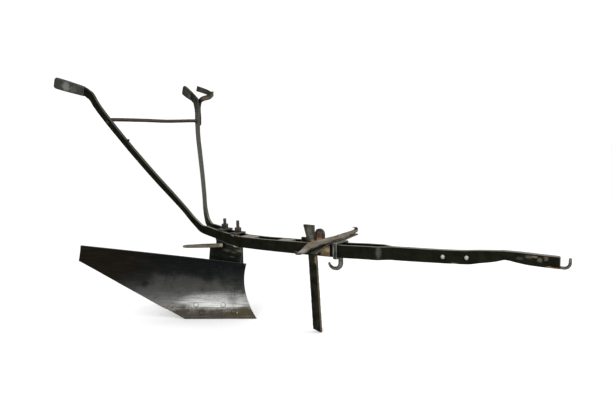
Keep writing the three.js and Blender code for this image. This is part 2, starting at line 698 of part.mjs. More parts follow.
function frog() {
  const neck = sideProfile([
    ...underBeam,
    [FROG_FRONT + 3, frogShoulder],
    [FROG_FRONT - 7, BOARD_FRONT_TALL],
    [FROG_FRONT - 7, frogWaist],
    [FROG_BODY.rear, frogWaist],
    [FROG_BODY.rear + 12, frogShoulder - 5],
    [FROG_REAR, frogShoulder + 2],
  ], -FROG_WIDTH / 2, FROG_WIDTH / 2);
  // The neck is cut away obliquely on the land side, towards its front.
  const nearSide = -FROG_WIDTH / 2;
  const neckPlan = planProfile([
    [FROG_REAR - 60, nearSide],
    [FROG_FRONT + 10, nearSide],
    [FROG_FRONT + 10, nearSide + 2],
    [FROG_FRONT - 52, nearSide + FROG_WIDTH],
    [FROG_REAR - 60, nearSide + FROG_WIDTH],
  ], 0, 500);
  const ledge = sideProfile([
    ...underBeam,
    ...underBeam.map(([x, z]) => [x, z - FROG_FLANGE.thick]).reverse(),
  ], nearSide - FROG_FLANGE.proud, nearSide + 1);
  const inside = landInner - SEAT;
  const { front, corner, heelDepth, rear, foot } = FROG_BODY;
  const body = planProfile([
    [front, inside],
    [front, onShareLine(front)],
    [corner, onShareLine(corner)],
    [FROG_REAR + 17, onShareLine(corner)],
    [rear, inside - heelDepth],
    [rear, inside],
  ], foot, frogWaist + 1);
  const studHoles = Object.values(STUDS).map((place) => stud(place, SEAT));
  const leg = toSolid(neck).intersect(toSolid(neckPlan));
  const solid = join(ledge, body).add(leg).subtract(plateSpace());
  return cut(solid, ...studHoles, ...landsideHoles(), ...boardBoltHoles());
}
addPiece('frog', frog(), 'castIron');

// The arm that stands out from the frog, back over the mouldboard.
function sideArm() {
  const face = -FROG_WIDTH / 2 - SEAT;
  const { root, reach, tall } = SIDE_ARM;
  const level = beamBottom(root + 8) - FROG_FLANGE.thick - 3 * SEAT - tall / 2;
  const away = vector(-0.75, -0.66, 0).normalize();
  const start = vector(root, face, level);
  const stationAt = (distance, thick, high) => (
    { at: offset(start, [away, distance]).toArray(), thick, tall: high });
  return sweep([
    { at: start.toArray(), thick: 16, tall, travel: [0, -1, 0] },
    stationAt(12, 12, tall),
    stationAt(0.9 * reach, 11, 15),
    stationAt(0.97 * reach, 9, 12),
    stationAt(reach, 6, 6),
  ], [1, 0, 0]);
}
addPiece('frog_side_arm', toSolid(sideArm()), 'brownIron');

// Each stud comes up through the slot, with a saddle plate across the bars and a nut.
for (const [name, place] of Object.entries(STUDS)) {
  const { x } = place;
  const half = 17;
  const seatTop = Math.max(beamTop(x - half), beamTop(x + half)) + 5;
  const saddle = sideProfile([
    [x - half, beamTop(x - half) + 2 * SEAT],
    [x + half, beamTop(x + half) + 2 * SEAT],
    [x + half, seatTop],
    [x - half, seatTop],
  ], -beamHalf + 2, beamHalf - 2);
  const studHole = stud(place, SEAT);
  const nut = hexagon(NUT_FLATS, NUT_TALL).translate(x, 0, seatTop + SEAT);
  addPiece(`${name}_frog_stud`, toSolid(stud(place, 0)), 'wornIron');
  addPiece(`${name}_saddle_plate`, cut(toSolid(saddle), studHole), 'wornIron');
  addPiece(`${name}_frog_nut`, cut(toSolid(nut), studHole), 'wornIron');
}

// A stay from the landside to the mouldboard's back.
function boardStay() {
  const inside = landInner - SEAT;
  const tall = 30;
  const thick = 8;
  const contact = { along: 560, z: 205 };
  const normal = boardNormal(contact.z);
  const reach = PLATE_THICK + SEAT + thick / 2;
  const foot = offset(boardPoint(contact.along, contact.z), [normal, reach]);
  const stations = [
    [vector(-520, inside - thick / 2, 0.55 * LANDSIDE_TALL), [0.999, 0, 0]],
    [vector(-455, inside - thick / 2, 0.55 * LANDSIDE_TALL)],
    [offset(foot, [alongShare, -28], [normal, 6])],
    [offset(foot, [alongShare, 40])],
  ];
  return sweep(
    stations.map(([at, travel]) => ({ at: at.toArray(), thick, tall, travel })),
    [0, 1, 0],
  );
}
addPiece('mouldboard_stay', toSolid(boardStay()).subtract(plateSpace()), 'brownIron');

// ---- Coulter: a knife that hangs in the slot, held by packers, a wedge and a clamp ----
const coulterMiddle = (z) => COULTER_TIP - COULTER_RAKE * z;
// Columns: height, rear edge and front edge from the middle, as shares of COULTER_WIDTH.
const COULTER_LINE = [
  [0, -0.5, 0.5],
  [BEAM_CLEARANCE - 10, -0.5, 0.5],
  [BEAM_CLEARANCE + 16, -0.53, 0.35],
  [BEAM_CLEARANCE + 0.62 * COULTER_HEAD, -0.64, 0.33],
  [BEAM_CLEARANCE + COULTER_HEAD, -0.92, 0.4],
];
const coulterEdge = (z, column) => (
  coulterMiddle(z) + COULTER_WIDTH * readTable(COULTER_LINE, z, column));

// The foot is worn away towards the rear.
function coulter() {
  const edge = (column) => COULTER_LINE.map(([z]) => [coulterEdge(z, column), z]);
  const [rear, front] = [edge(1), edge(2)];
  rear[0][1] = 9;
  return toSolid(sideProfile([...rear, ...front.reverse()], -COULTER_THICK / 2, COULTER_THICK / 2));
}
addPiece('coulter', coulter(), 'wornIron');

// Packers fill the slot beside the coulter and the clamp; the left one closes it behind.
const CLAMP = { middle: 340, radius: 22, thick: 7, half: COULTER_THICK / 2 };
const packerRear = COULTER_TIP - 79;
const packerFront = CLAMP.middle + CLAMP.radius + 2;
const cheek = COULTER_THICK / 2 + SEAT;
const packerSpan = [beamBottom(packerFront) + 4, beamTop(packerRear) - 4];
const cheekFront = CLAMP.middle - CLAMP.radius - SEAT;
const slotWall = SLOT / 2 - SEAT;
const clampWall = CLAMP.half + SEAT;
const packer = (side, rear) => planProfile([
  [packerRear, side * slotWall],
  [packerFront, side * slotWall],
  [packerFront, side * clampWall],
  [cheekFront, side * clampWall],
  [cheekFront, side * cheek],
  ...rear,
], ...packerSpan);
const packerStop = packerRear + 12;
addPiece('right_slot_packer', toSolid(packer(-1, [[packerRear, -cheek]])), 'rustyIron');
addPiece('left_slot_packer', toSolid(packer(1, [
  [packerStop, cheek],
  [packerStop, -COULTER_THICK / 2],
  [packerRear, -COULTER_THICK / 2],
])), 'rustyIron');

// Two distance pieces, forged in between the bars, hold the slot open behind the coulter.
const DISTANCE_PIECES = { rear: [-72, 0], middle: [134, 200] };
const distancePiece = ([back, front]) => sideProfile([
  [back, beamBottom(back) + 1],
  [front, beamBottom(front) + 1],
  [front, beamTop(front) - 1],
  [back, beamTop(back) - 1],
], -slotWall, slotWall);
for (const [place, span] of Object.entries(DISTANCE_PIECES)) {
  addPiece(`${place}_distance_piece`, toSolid(distancePiece(span)), 'brownIron');
}

const wedgeTop = beamTop(packerRear) + 16;
const behindCoulter = (z) => coulterEdge(z, 1) - SEAT;
addPiece('coulter_wedge', toSolid(sideProfile([
  [packerStop + 5, packerSpan[0] - 2],
  [behindCoulter(packerSpan[0] - 2), packerSpan[0] - 2],
  [behindCoulter(wedgeTop), wedgeTop],
  [packerStop - 3, wedgeTop],
  [packerStop - 3, packerSpan[1] + SEAT + 3],
  [packerStop + SEAT, packerSpan[1] + SEAT],
], -COULTER_THICK / 2, COULTER_THICK / 2)), 'blackIron');

// The clamp: a half-round strap standing in the slot ahead of the coulter, over a rusty key.
const clampCrown = beamTop(CLAMP.middle) + 31;
const clampFoot = packerSpan[0] + 22;
function arch(outer, inner) {
  const shape = new THREE.Shape()
    .absarc(CLAMP.middle, clampCrown, outer, 0, Math.PI, false)
    .lineTo(CLAMP.middle - outer, clampFoot);
  if (inner > 0) {
    shape.lineTo(CLAMP.middle - inner, clampFoot)
      .absarc(CLAMP.middle, clampCrown, inner, Math.PI, 0, true)
      .lineTo(CLAMP.middle + inner, clampFoot);
  }
  return shape.lineTo(CLAMP.middle + outer, clampFoot);
}
const clampInner = CLAMP.radius - CLAMP.thick;
addPiece('coulter_clamp', toSolid(
  sideProfile(arch(CLAMP.radius, clampInner), -CLAMP.half, CLAMP.half),
), 'blackIron');
addPiece('coulter_clamp_key', toSolid(
  sideProfile(arch(clampInner - SEAT, 0), -3, 4),
), 'rustyIron');

// A plate on the furrow side of the beam, below the cross bar.
const sidePlate = { rear: CROSS_BAR_PLACE - 28, front: CROSS_BAR_PLACE + 14, thick: 6 };
addPiece('beam_side_plate', toSolid(sideProfile([
  [sidePlate.rear, beamBottom(sidePlate.rear) + 3],
  [sidePlate.front, beamBottom(sidePlate.front) + 3],
  [sidePlate.front, beamTop(sidePlate.front) - 6],
  [sidePlate.rear, beamTop(sidePlate.rear) - 6],
], -beamHalf - SEAT - sidePlate.thick, -beamHalf - SEAT)), 'rustyIron');

// ---- Cross bar: a tapered bar with curled ends, lying across the beam on a strap ----
const crossTop = Math.max(beamTop(CROSS_BAR_PLACE - 30), beamTop(CROSS_BAR_PLACE + 30));
const strapMiddle = crossTop + SEAT + CROSS_STRAP_THICK / 2;
const crossMiddle = crossTop + 2 * SEAT + CROSS_STRAP_THICK + CROSS_BAR_THICK / 2;

// Columns: Y, rise over the middle, shift along the beam, width, share of the thickness.
const CROSS_BAR_LINE = [
  [-CROSS_BAR_NEAR - 9, -9, 0, 10, 0.5],
  [-CROSS_BAR_NEAR - 7, -16, 0, 14, 0.7],
  [-CROSS_BAR_NEAR, -22, 0, 17, 0.9],
  [-CROSS_BAR_NEAR + 60, -10, -2, 36, 1],
  [-90, -2, -8, 62, 1],
  [-45, 0, -5, 60, 1],
  [45, 0, -5, 60, 1],
  [90, 5, -3, 44, 1],
  [CROSS_BAR_FAR, 12, 0, 26, 0.9],
  [CROSS_BAR_FAR + 9, 19, 0, 20, 0.8],
  [CROSS_BAR_FAR + 6, 27, 0, 17, 0.6],
  [CROSS_BAR_FAR - 18, 29, 0, 8, 0.5],
];
addPiece('cross_bar', toSolid(sweep(CROSS_BAR_LINE.map(([y, rise, shift, wide, share]) => ({
  at: [CROSS_BAR_PLACE + shift, y, crossMiddle + rise],
  thick: share * CROSS_BAR_THICK,
  tall: wide,
  travel: Math.abs(y) < 2 * beamHalf ? [0, 1, 0] : undefined,
})), [0, -0.5, 1])), 'weatheredIron');

// Columns: Y, rise over the middle.
const CROSS_STRAP_LINE = [[-132, -24], [-60, -3], [-42, 0], [45, 0], [90, 4.5], [148, 10.3]];
addPiece('cross_bar_strap', toSolid(sweep(CROSS_STRAP_LINE.map(([y, rise]) => ({
  at: [CROSS_BAR_PLACE + 9, y, strapMiddle + rise],
  thick: CROSS_STRAP_THICK,
  tall: 26,
})), [0, 0, 1])), 'weatheredIron');

// ---- Draught hook under the beam, hung from a stirrup around both bars ----
const stirrupEnds = [STIRRUP_PLACE - STIRRUP_WIDTH / 2, STIRRUP_PLACE + STIRRUP_WIDTH / 2];
const stirrupInner = {
  half: beamHalf + SEAT,
  low: Math.min(...stirrupEnds.map(beamBottom)) - SEAT,
  high: Math.max(...stirrupEnds.map(beamTop)) + SEAT,
};
const hookFoot = vector(STIRRUP_PLACE - 1, 0, stirrupInner.low - STIRRUP_THICK - 20);
const hookShank = (clearance) => (
  cylinder(DRAG_HOOK_DIAMETER + 2 * clearance, 60).translate(...hookFoot.toArray()));
function stirrup() {
  const { half, low, high } = stirrupInner;
  const outside = block(
    ...stirrupEnds,
    -half - STIRRUP_THICK,
    half + STIRRUP_THICK,
    low - STIRRUP_THICK,
    high + STIRRUP_THICK,
  );
  return cut(toSolid(outside), block(0, 900, -half, half, low, high), hookShank(SEAT));
}
addPiece('hook_stirrup', stirrup(), 'blackIron');

// Columns: degrees round the bend, share of the shank's diameter.
const DRAG_HOOK_BOW = [
  [0, 1],
  [-25, 0.97],
  [-50, 0.9],
  [-75, 0.82],
  [-100, 0.74],
  [-125, 0.66],
  [-150, 0.56],
  [-172, 0.4],
];
function dragHook() {
  const middle = hookFoot.x - DRAG_HOOK_REACH;
  const bow = sweep(DRAG_HOOK_BOW.map(([degrees, share]) => {
    const angle = THREE.MathUtils.degToRad(degrees);
    return {
      at: [
        middle + DRAG_HOOK_REACH * Math.cos(angle),
        0,
        hookFoot.z + DRAG_HOOK_DROP * Math.sin(angle),
      ],
      thick: share * DRAG_HOOK_DIAMETER,
      tall: share * DRAG_HOOK_DIAMETER,
      travel: degrees === 0 ? [0, 0, -1] : undefined,
    };
  }), [0, 1, 0], SECTIONS.round);
  return join(hookShank(0), bow.translate(0, 0, 0.5));
}
addPiece('drag_hook', dragHook(), 'wornIron');

// ---- The origin is on the ground, under the middle of the whole plough ----
const bounds = new THREE.Box3().setFromObject(plough);
const centre = bounds.getCenter(vector(0, 0, 0));
plough.position.set(-centre.x, -centre.y, -bounds.min.z);

export default plough;
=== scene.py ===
import math
from itertools import product

import bmesh
import bpy
import numpy as np
from mathutils import Matrix, Vector


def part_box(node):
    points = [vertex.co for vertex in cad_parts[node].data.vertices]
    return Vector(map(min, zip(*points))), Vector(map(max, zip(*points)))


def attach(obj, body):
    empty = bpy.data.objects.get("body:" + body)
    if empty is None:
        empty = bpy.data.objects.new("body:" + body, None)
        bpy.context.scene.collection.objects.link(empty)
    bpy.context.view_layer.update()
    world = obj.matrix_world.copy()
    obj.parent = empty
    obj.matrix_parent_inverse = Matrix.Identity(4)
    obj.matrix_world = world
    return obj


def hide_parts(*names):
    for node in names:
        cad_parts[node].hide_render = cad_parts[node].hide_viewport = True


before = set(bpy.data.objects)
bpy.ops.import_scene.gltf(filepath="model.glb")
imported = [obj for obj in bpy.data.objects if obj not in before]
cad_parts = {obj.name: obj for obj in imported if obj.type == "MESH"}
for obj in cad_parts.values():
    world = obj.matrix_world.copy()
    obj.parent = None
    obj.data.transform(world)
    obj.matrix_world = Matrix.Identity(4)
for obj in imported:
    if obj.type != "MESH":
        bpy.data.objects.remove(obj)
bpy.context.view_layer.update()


# ---- Camera ----
# It stands ahead of the plough on its furrow side, a little above the beam, and leans slightly. All
# places are in millimetres from the share's point, along the beam's middle plane: x the way the
# plough travels, y to the land side, z up from the ground.
right_side, left_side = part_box("right_beam_bar")[0].y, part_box("left_beam_bar")[1].y
SHARE_POINT = Vector((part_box("share")[1].x, (right_side + left_side) / 2, 0))


def at(x, y, z):
    return SHARE_POINT + Vector((x, y, z)) / 1000


TURN, DIP, LEAN = math.radians(38.16), math.radians(6.43), math.radians(-1.28)
level_right = Vector((math.cos(TURN), math.sin(TURN), 0))
level_ahead = Vector((-math.sin(TURN), math.cos(TURN), 0))
ahead = level_ahead * math.cos(DIP) - Vector((0, 0, math.sin(DIP)))
upright = level_ahead * math.sin(DIP) + Vector((0, 0, math.cos(DIP)))
lens_right = level_right * math.cos(LEAN) + upright * math.sin(LEAN)
lens_up = upright * math.cos(LEAN) - level_right * math.sin(LEAN)
camera = bpy.data.objects.new("camera", bpy.data.cameras.new("camera"))
camera.data.sensor_width = 36
camera.data.lens = 35.75
camera.data.clip_start, camera.data.clip_end = 0.05, 200
place = Matrix((lens_right, lens_up, -ahead)).transposed().to_4x4()
place.translation = at(1747.7, -1875.4, 780)
camera.matrix_world = place
bpy.context.scene.collection.objects.link(camera)
bpy.context.scene.camera = camera
bpy.context.scene.view_settings.view_transform = "Standard"


# ---- Floor and light ----
# A white sweep without a joint under an even white room, with two soft boxes: a long low one that
# draws the bright band across the hollow of the mouldboard, and a broad one above the beam's nose.
def add(tree, kind, links=None, ramp=None, **settings):
    """Adds a shader node with its settings; links gives each socket a value, node or socket."""
    made = tree.nodes.new("ShaderNode" + kind)
    for key, value in settings.items():
        setattr(made, key, value)
    for key, value in (links or {}).items():
        socket = made.inputs[key]
        if isinstance(value, bpy.types.Node):
            value = value.outputs[0]
        if isinstance(value, bpy.types.NodeSocket):
            tree.links.new(value, socket)
        else:
            socket.default_value = value
    if ramp:
        stops = made.color_ramp.elements
        while len(stops) < len(ramp):
            stops.new(0.5)
        for stop, (position, colour) in zip(stops, ramp):
            stop.position, stop.color = position, colour
    return made


world = bpy.data.worlds.new("white_room")
world.use_nodes = True
room = world.node_tree.nodes["Background"]
room.inputs["Color"].default_value = (1, 1, 1, 1)
room.inputs["Strength"].default_value = 1.12
bpy.context.scene.world = world

SWEEP = 40  # half the sweep's side, in metres
floor_mesh = bpy.data.meshes.new("floor")
floor_mesh.from_pydata([(x * SWEEP, y * SWEEP, 0) for x, y in ((-1, -1), (1, -1), (1, 1), (-1, 1))], [],
                       [(0, 1, 2, 3)])
floor = bpy.data.objects.new("floor", floor_mesh)
bpy.context.scene.collection.objects.link(floor)
sweep_paper = bpy.data.materials.new("white_sweep_paper")
sweep_paper.use_nodes = True
paper = sweep_paper.node_tree
fibre = add(paper, "TexNoise", {"Scale": 90, "Detail": 2})
tone = add(paper, "ValToRGB", {"Fac": fibre}, [(0.3, (0.89, 0.89, 0.89, 1)), (0.7, (0.91, 0.91, 0.91, 1))])
paper_shader = paper.nodes["Principled BSDF"]
paper.links.new(tone.outputs[0], paper_shader.inputs["Base Color"])
paper_shader.inputs["Roughness"].default_value = 0.9
paper_shader.inputs["Specular IOR Level"].default_value = 0.1
floor_mesh.materials.append(sweep_paper)

# Columns: name, place, what it points at, width, height, radiance.
for name, stand, target, wide, tall, radiance in (
    ("low_softbox", at(640, -2720, 1330), at(-250, -200, 80), 0.95, 0.62, 15),
    ("top_softbox", at(1700, 1000, 2400), at(200, 0, 300), 1.8, 1.8, 2.6),
):
    box = bpy.data.lights.new(name, "AREA")
    box.shape, box.size, box.size_y = "RECTANGLE", wide, tall
    box.energy = radiance * math.pi * wide * tall
    holder = bpy.data.objects.new(name, box)
    holder.location = stand
    holder.rotation_euler = (target - stand).to_track_quat("-Z", "Y").to_euler()
    bpy.context.scene.collection.objects.link(holder)


# ---- The two side bars ----
# Each side is one bar of wrought iron on edge, 48 by 12 mm, that runs from the nose back under the
# nuts, then turns up and out as a handle of 38 by 12. Its hard black skin of fire scale greys on the
# worn corners and under dust, is painted lighter where it faces up and ahead towards the lamps, and rusts in
# specks.
def linear(code):
    """An sRGB hex colour in linear light."""
    parts = [int(code[i:i + 2], 16) / 255 for i in (1, 3, 5)]
    return [c / 12.92 if c <= 0.04045 else ((c + 0.055) / 1.055) ** 2.4 for c in parts] + [1]


# Patches, dust with painted light, and wear fade out smoothly at their edges.
SMOOTH = {"interpolation_type": "SMOOTHSTEP"}


def near(tree, where, fine, centre, reach):
    """A ragged patch round a point, both in mm from the share's point."""
    apart = add(tree, "VectorMath", {0: where, 1: at(*centre)}, operation="SUBTRACT")
    scaled = add(tree, "VectorMath", {0: apart, 1: [1000 / r for r in reach]}, operation="MULTIPLY")
    far = add(tree, "VectorMath", {0: scaled}, operation="LENGTH").outputs["Value"]
    frayed = add(tree, "Math", {0: fine, 1: 1.6}, operation="MULTIPLY")
    edge = add(tree, "Math", {0: far, 1: frayed}, operation="ADD")
    return add(tree, "MapRange", {"Value": edge, "From Min": 1.25, "From Max": 1.85, "To Min": 1,
                                  "To Max": 0}, **SMOOTH)


def iron(name, skin, dust_and_lit_colours, rust, bare, rough=0.42, dust_and_light_amount=0.8, rusty=0.5, worn=0.6, pits=1.0,
         patches=(), dust_and_light_way=(0.55, 0.1, 0.83), dust_and_light_below=None, stretch=(1, 1, 1)):
    """Forged iron. Pairs of colours are the darker and lighter of a skin, and of the dust and painted light
    on faces turned up and ahead; patches are rows of centre, reach, colour and strength; above the given
    height in mm only a third of that dust and painted light lies."""
    material = bpy.data.materials.new(name)
    material.use_nodes = True
    tree = material.node_tree
    shader = tree.nodes["Principled BSDF"]
    where = add(tree, "TexCoord").outputs["Object"]
    geometry = add(tree, "NewGeometry")
    drawn = add(tree, "VectorMath", {0: where, 1: stretch}, operation="MULTIPLY").outputs[0]
    # The skin is uneven in blotches of 35 mm and of 6 mm.
    blotch = add(tree, "TexNoise", {"Vector": drawn, "Scale": 1000 / 35, "Detail": 4, "Roughness": 0.6})
    fine = add(tree, "TexNoise", {"Vector": drawn, "Scale": 1000 / 6, "Detail": 5, "Roughness": 0.65})
    colour = add(tree, "ValToRGB", {"Fac": blotch}, [(0.35, linear(skin[0])), (0.65, linear(skin[1]))])
    # Bare metal shows on the worn corners.
    corner = add(tree, "MapRange", {"Value": geometry.outputs["Pointiness"], "From Min": 0.515,
                                    "From Max": 0.57}, **SMOOTH)
    chipped = add(tree, "MapRange", {"Value": fine, "From Min": 0.3, "From Max": 0.6, "To Max": worn},
                  **SMOOTH)
    corner = add(tree, "Math", {0: corner, 1: chipped}, operation="MULTIPLY")
    colour = add(tree, "Mix", {0: corner, 6: colour, 7: linear(bare)}, data_type="RGBA").outputs[2]
    # Dust lies on what faces up; the same mask paints light on what faces up and ahead, towards the lamps.
    facing = add(tree, "VectorMath", {0: geometry.outputs["Normal"], 1: dust_and_light_way},
                 operation="DOT_PRODUCT").outputs["Value"]
    uneven = add(tree, "Math", {0: fine, 1: 0.5}, operation="MULTIPLY")
    broken = add(tree, "Math", {0: facing, 1: uneven}, operation="ADD")
    dust_and_light_mask = add(tree, "MapRange", {"Value": broken, "From Min": 0.6, "From Max": 0.95, "To Max": dust_and_light_amount},
               **SMOOTH)
    if dust_and_light_below:
        height = add(tree, "SeparateXYZ", {0: where}).outputs["Z"]
        lying = add(tree, "MapRange", {"Value": height, "From Min": dust_and_light_below / 1000,
                                       "From Max": dust_and_light_below / 1000 + 0.05, "To Min": 1, "To Max": 0.3},
                    **SMOOTH)
        dust_and_light_mask = add(tree, "Math", {0: dust_and_light_mask, 1: lying}, operation="MULTIPLY")
    dust_and_light_tint = add(tree, "ValToRGB", {"Fac": fine}, [(0.35, linear(dust_and_lit_colours[0])), (0.65, linear(dust_and_lit_colours[1]))])
    colour = add(tree, "Mix", {0: dust_and_light_mask, 6: colour, 7: dust_and_light_tint}, data_type="RGBA").outputs[2]
    # Rust breaks through in specks of 9 mm and less, thicker where water lies.
    specks = add(tree, "TexNoise", {"Vector": where, "Scale": 1000 / 9, "Detail": 6, "Roughness": 0.7})
    wet = add(tree, "Math", {0: blotch, 1: 0.35}, operation="MULTIPLY")
    gather = add(tree, "Math", {0: specks, 1: wet}, operation="ADD")
    rust_mask = add(tree, "MapRange", {"Value": gather, "From Min": 0.82 - 0.12 * rusty,
                                       "From Max": 0.92 - 0.12 * rusty, "To Max": min(1, rusty * 1.4)},
                    **SMOOTH)
    colour = add(tree, "Mix", {0: rust_mask, 6: colour, 7: linear(rust)}, data_type="RGBA").outputs[2]
    dull = add(tree, "Math", {0: dust_and_light_mask, 1: rust_mask}, operation="MAXIMUM")
    for centre, reach, patch_colour, strength in patches:
        around = near(tree, where, fine, centre, reach)
        patch = add(tree, "Math", {0: around, 1: strength}, operation="MULTIPLY")
        colour = add(tree, "Mix", {0: patch, 6: colour, 7: linear(patch_colour)}, data_type="RGBA").outputs[2]
        dull = add(tree, "Math", {0: dull, 1: patch}, operation="MAXIMUM")
    tree.links.new(colour, shader.inputs["Base Color"])
    metal = add(tree, "Math", {0: 1, 1: dull}, operation="SUBTRACT", use_clamp=True)
    tree.links.new(metal.outputs[0], shader.inputs["Metallic"])
    gloss = add(tree, "MapRange", {"Value": fine, "From Min": 0.3, "From Max": 0.7, "To Min": rough - 0.08,
                                   "To Max": rough + 0.1}, **SMOOTH)
    matt = add(tree, "Math", {0: dull, 1: 0.4}, operation="MULTIPLY")
    rougher = add(tree, "Math", {0: gloss, 1: matt}, operation="ADD", use_clamp=True)
    tree.links.new(rougher.outputs[0], shader.inputs["Roughness"])
    shader.inputs["Specular Tint"].default_value = (0.5, 0.5, 0.5, 1)
    # Fire scale and pitting: pits of 3 mm and a fine grain, cut a little deeper than real to show.
    hollows = add(tree, "TexNoise", {"Vector": drawn, "Scale": 1000 / 3, "Detail": 3, "Roughness": 0.5})
    pitted = add(tree, "MapRange", {"Value": hollows, "From Min": 0.34, "From Max": 0.5}, **SMOOTH)
    grain = add(tree, "TexNoise", {"Vector": where, "Scale": 1000 / 1.2, "Detail": 2, "Roughness": 0.6})
    grain_height = add(tree, "Math", {0: grain, 1: 0.35}, operation="MULTIPLY")
    relief = add(tree, "Math", {0: pitted, 1: grain_height}, operation="ADD")
    bump = add(tree, "Bump", {"Height": relief, "Distance": 0.0005 * pits, "Strength": 0.55})
    tree.links.new(bump.outputs[0], shader.inputs["Normal"])
    return material


def smooth_line(knots, spacing, end_round):
    """Reads a table of knots along a curve that never swings past them, and how far each ring is
    drawn in where the bar's ends are rounded over."""
    rows = np.array(knots, float)
    gaps = np.linalg.norm(np.diff(rows[:, :3], axis=0), axis=1)
    way = np.concatenate([[0], np.cumsum(gaps)])
    slopes = np.diff(rows, axis=0) / gaps[:, None]
    turns = np.zeros_like(rows)
    turns[0], turns[-1] = slopes[0], slopes[-1]
    before, after = slopes[:-1], slopes[1:]
    near, far = (2 * gaps[1:] + gaps[:-1])[:, None], (gaps[1:] + 2 * gaps[:-1])[:, None]
    with np.errstate(divide="ignore", invalid="ignore"):
        turns[1:-1] = np.where(before * after > 0, (near + far) / (near / before + far / after), 0)
    rounding = np.radians([0, 30, 60])
    lead, inset = end_round * (1 - np.cos(rounding)), end_round * (1 - np.sin(rounding))
    middle = np.linspace(end_round, way[-1] - end_round, max(2, int(way[-1] / spacing)))
    t = np.concatenate([lead, middle, way[-1] - lead[::-1]])
    drawn = np.concatenate([inset, np.zeros(len(middle)), inset[::-1]])
    k = np.clip(np.searchsorted(way, t, side="right") - 1, 0, len(gaps) - 1)
    g = gaps[k][:, None]
    u = (t - way[k])[:, None] / g
    line = (rows[k] * (1 + 2 * u) * (1 - u) ** 2 + rows[k + 1] * u * u * (3 - 2 * u)
            + g * (turns[k] * u * (1 - u) ** 2 + turns[k + 1] * u * u * (u - 1)))
    return line, drawn


def lumps(points, size, seed):
    """Smooth seeded unevenness from -1 to 1, in lumps of `size` mm."""
    cells = 32
    lattice = np.random.default_rng(seed).uniform(-1, 1, (cells, cells, cells))
    scaled = np.asarray(points) / size + 500
    cell = np.floor(scaled).astype(int)
    part = scaled - cell
    part = part * part * (3 - 2 * part)
    total = np.zeros(len(scaled))
    for corner in product((0, 1), repeat=3):
        weight = np.prod(np.where(corner, part, 1 - part), axis=1)
        x, y, z = ((cell + corner) % cells).T
        total += weight * lattice[x, y, z]
    return total


def mesh_piece(name, points, faces, material):
    """A piece from points in mm and faces, shaded smooth."""
    mesh = bpy.data.meshes.new(name)
    mesh.from_pydata([at(*p) for p in points], [], faces)
    shell = bmesh.new()
    shell.from_mesh(mesh)
    bmesh.ops.recalc_face_normals(shell, faces=shell.faces)
    shell.to_mesh(mesh)
    shell.free()
    mesh.shade_smooth()
    made = bpy.data.objects.new(name, mesh)
    bpy.context.scene.collection.objects.link(made)
    mesh.materials.append(material)
    return made


def section(short_steps, long_steps, corner_steps=4):
    """Points round a bar: how far each is along the flats, -1 to 1, and its way out at a corner."""
    points = []
    signs = ((1, 1), (-1, 1), (-1, -1), (1, -1))
    for quarter, (sx, sy) in enumerate(signs):
        for step in range(corner_steps + 1):
            turn = (quarter + step / corner_steps) * math.pi / 2
            points.append((sx, sy, math.cos(turn), math.sin(turn)))
        nx, ny = signs[(quarter + 1) % 4]
        steps = short_steps if sy == ny else long_steps
        out = (quarter + 1) * math.pi / 2
        for step in range(1, steps):
            share = step / steps
            points.append((sx + (nx - sx) * share, sy + (ny - sy) * share, math.cos(out), math.sin(out)))
    return np.array(points)


def forged_bar(name, knots, material, corner=1.6, steps=(3, 12), spacing=4.0, end=1.2, lump=0.35,
               pit=0.12, by="flat", groove=0, seed=1):
    """A bar hammered along a line. Knots: x, y, z, thickness, height, and the way its flat faces (or
    its height runs, when by is "edge"). A groove is how deep the hammer drew it out lengthwise."""
    line, drawn = smooth_line(knots, spacing, end)
    centre = line[:, :3]
    along = np.gradient(centre, axis=0)
    along /= np.linalg.norm(along, axis=1)[:, None]
    given = line[:, 5:8] - (line[:, 5:8] * along).sum(1)[:, None] * along
    given /= np.linalg.norm(given, axis=1)[:, None]
    across, up = (given, np.cross(along, given)) if by == "flat" else (np.cross(given, along), given)
    around = section(*steps)
    half = line[:, 3:5] / 2 - drawn[:, None]
    radius = np.minimum(np.minimum(corner, half.min(1)), np.maximum(corner - drawn, 0.25 * corner))
    flats = half - radius[:, None]
    shape_x = around[None, :, 0] * flats[:, :1] + around[None, :, 2] * radius[:, None]
    shape_y = around[None, :, 1] * flats[:, 1:] + around[None, :, 3] * radius[:, None]
    points = centre[:, None] + shape_x[..., None] * across[:, None] + shape_y[..., None] * up[:, None]
    out = around[None, :, 2, None] * across[:, None] + around[None, :, 3, None] * up[:, None]
    rings, count = points.shape[:2]
    points, out = points.reshape(-1, 3), out.reshape(-1, 3)
    hammered = lump * (0.5 + 0.5 * lumps(points, 32, seed)) + pit * (0.5 + 0.5 * lumps(points, 5, seed + 1))
    if groove:
        way = np.abs(along).mean(0)
        drawn_out = points * np.where(way > way.max() - 0.01, 0.1, 1)
        hammered += groove * (0.5 + 0.5 * lumps(drawn_out, 5, seed + 2))
    points = points - out * hammered[:, None]
    faces = [(i + j, i + (j + 1) % count, i + count + (j + 1) % count, i + count + j)
             for i in range(0, (rings - 1) * count, count) for j in range(count)]
    for ring, end_at in ((0, centre[0]), (rings - 1, centre[-1])):
        points = np.vstack([points, end_at])
        faces += [(ring * count + j, ring * count + (j + 1) % count, len(points) - 1) for j in range(count)]
    return mesh_piece(name, points, faces, material)


def cut_away(piece, *tools):
    """Cuts the tools out of a piece, and removes them."""
    for tool in tools:
        cut = piece.modifiers.new("cut", "BOOLEAN")
        cut.operation, cut.solver, cut.object = "DIFFERENCE", "MANIFOLD", tool
    graph = bpy.context.evaluated_depsgraph_get()
    cleaned = bpy.data.meshes.new_from_object(piece.evaluated_get(graph))
    piece.modifiers.clear()
    piece.data = cleaned
    for tool in tools:
        bpy.data.objects.remove(tool)
    return piece


def fit(piece, slot, *nodes):
    """The piece takes the place of the plain solids and rides on the plough."""
    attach(piece, "root")
    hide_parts(*nodes)
    return piece


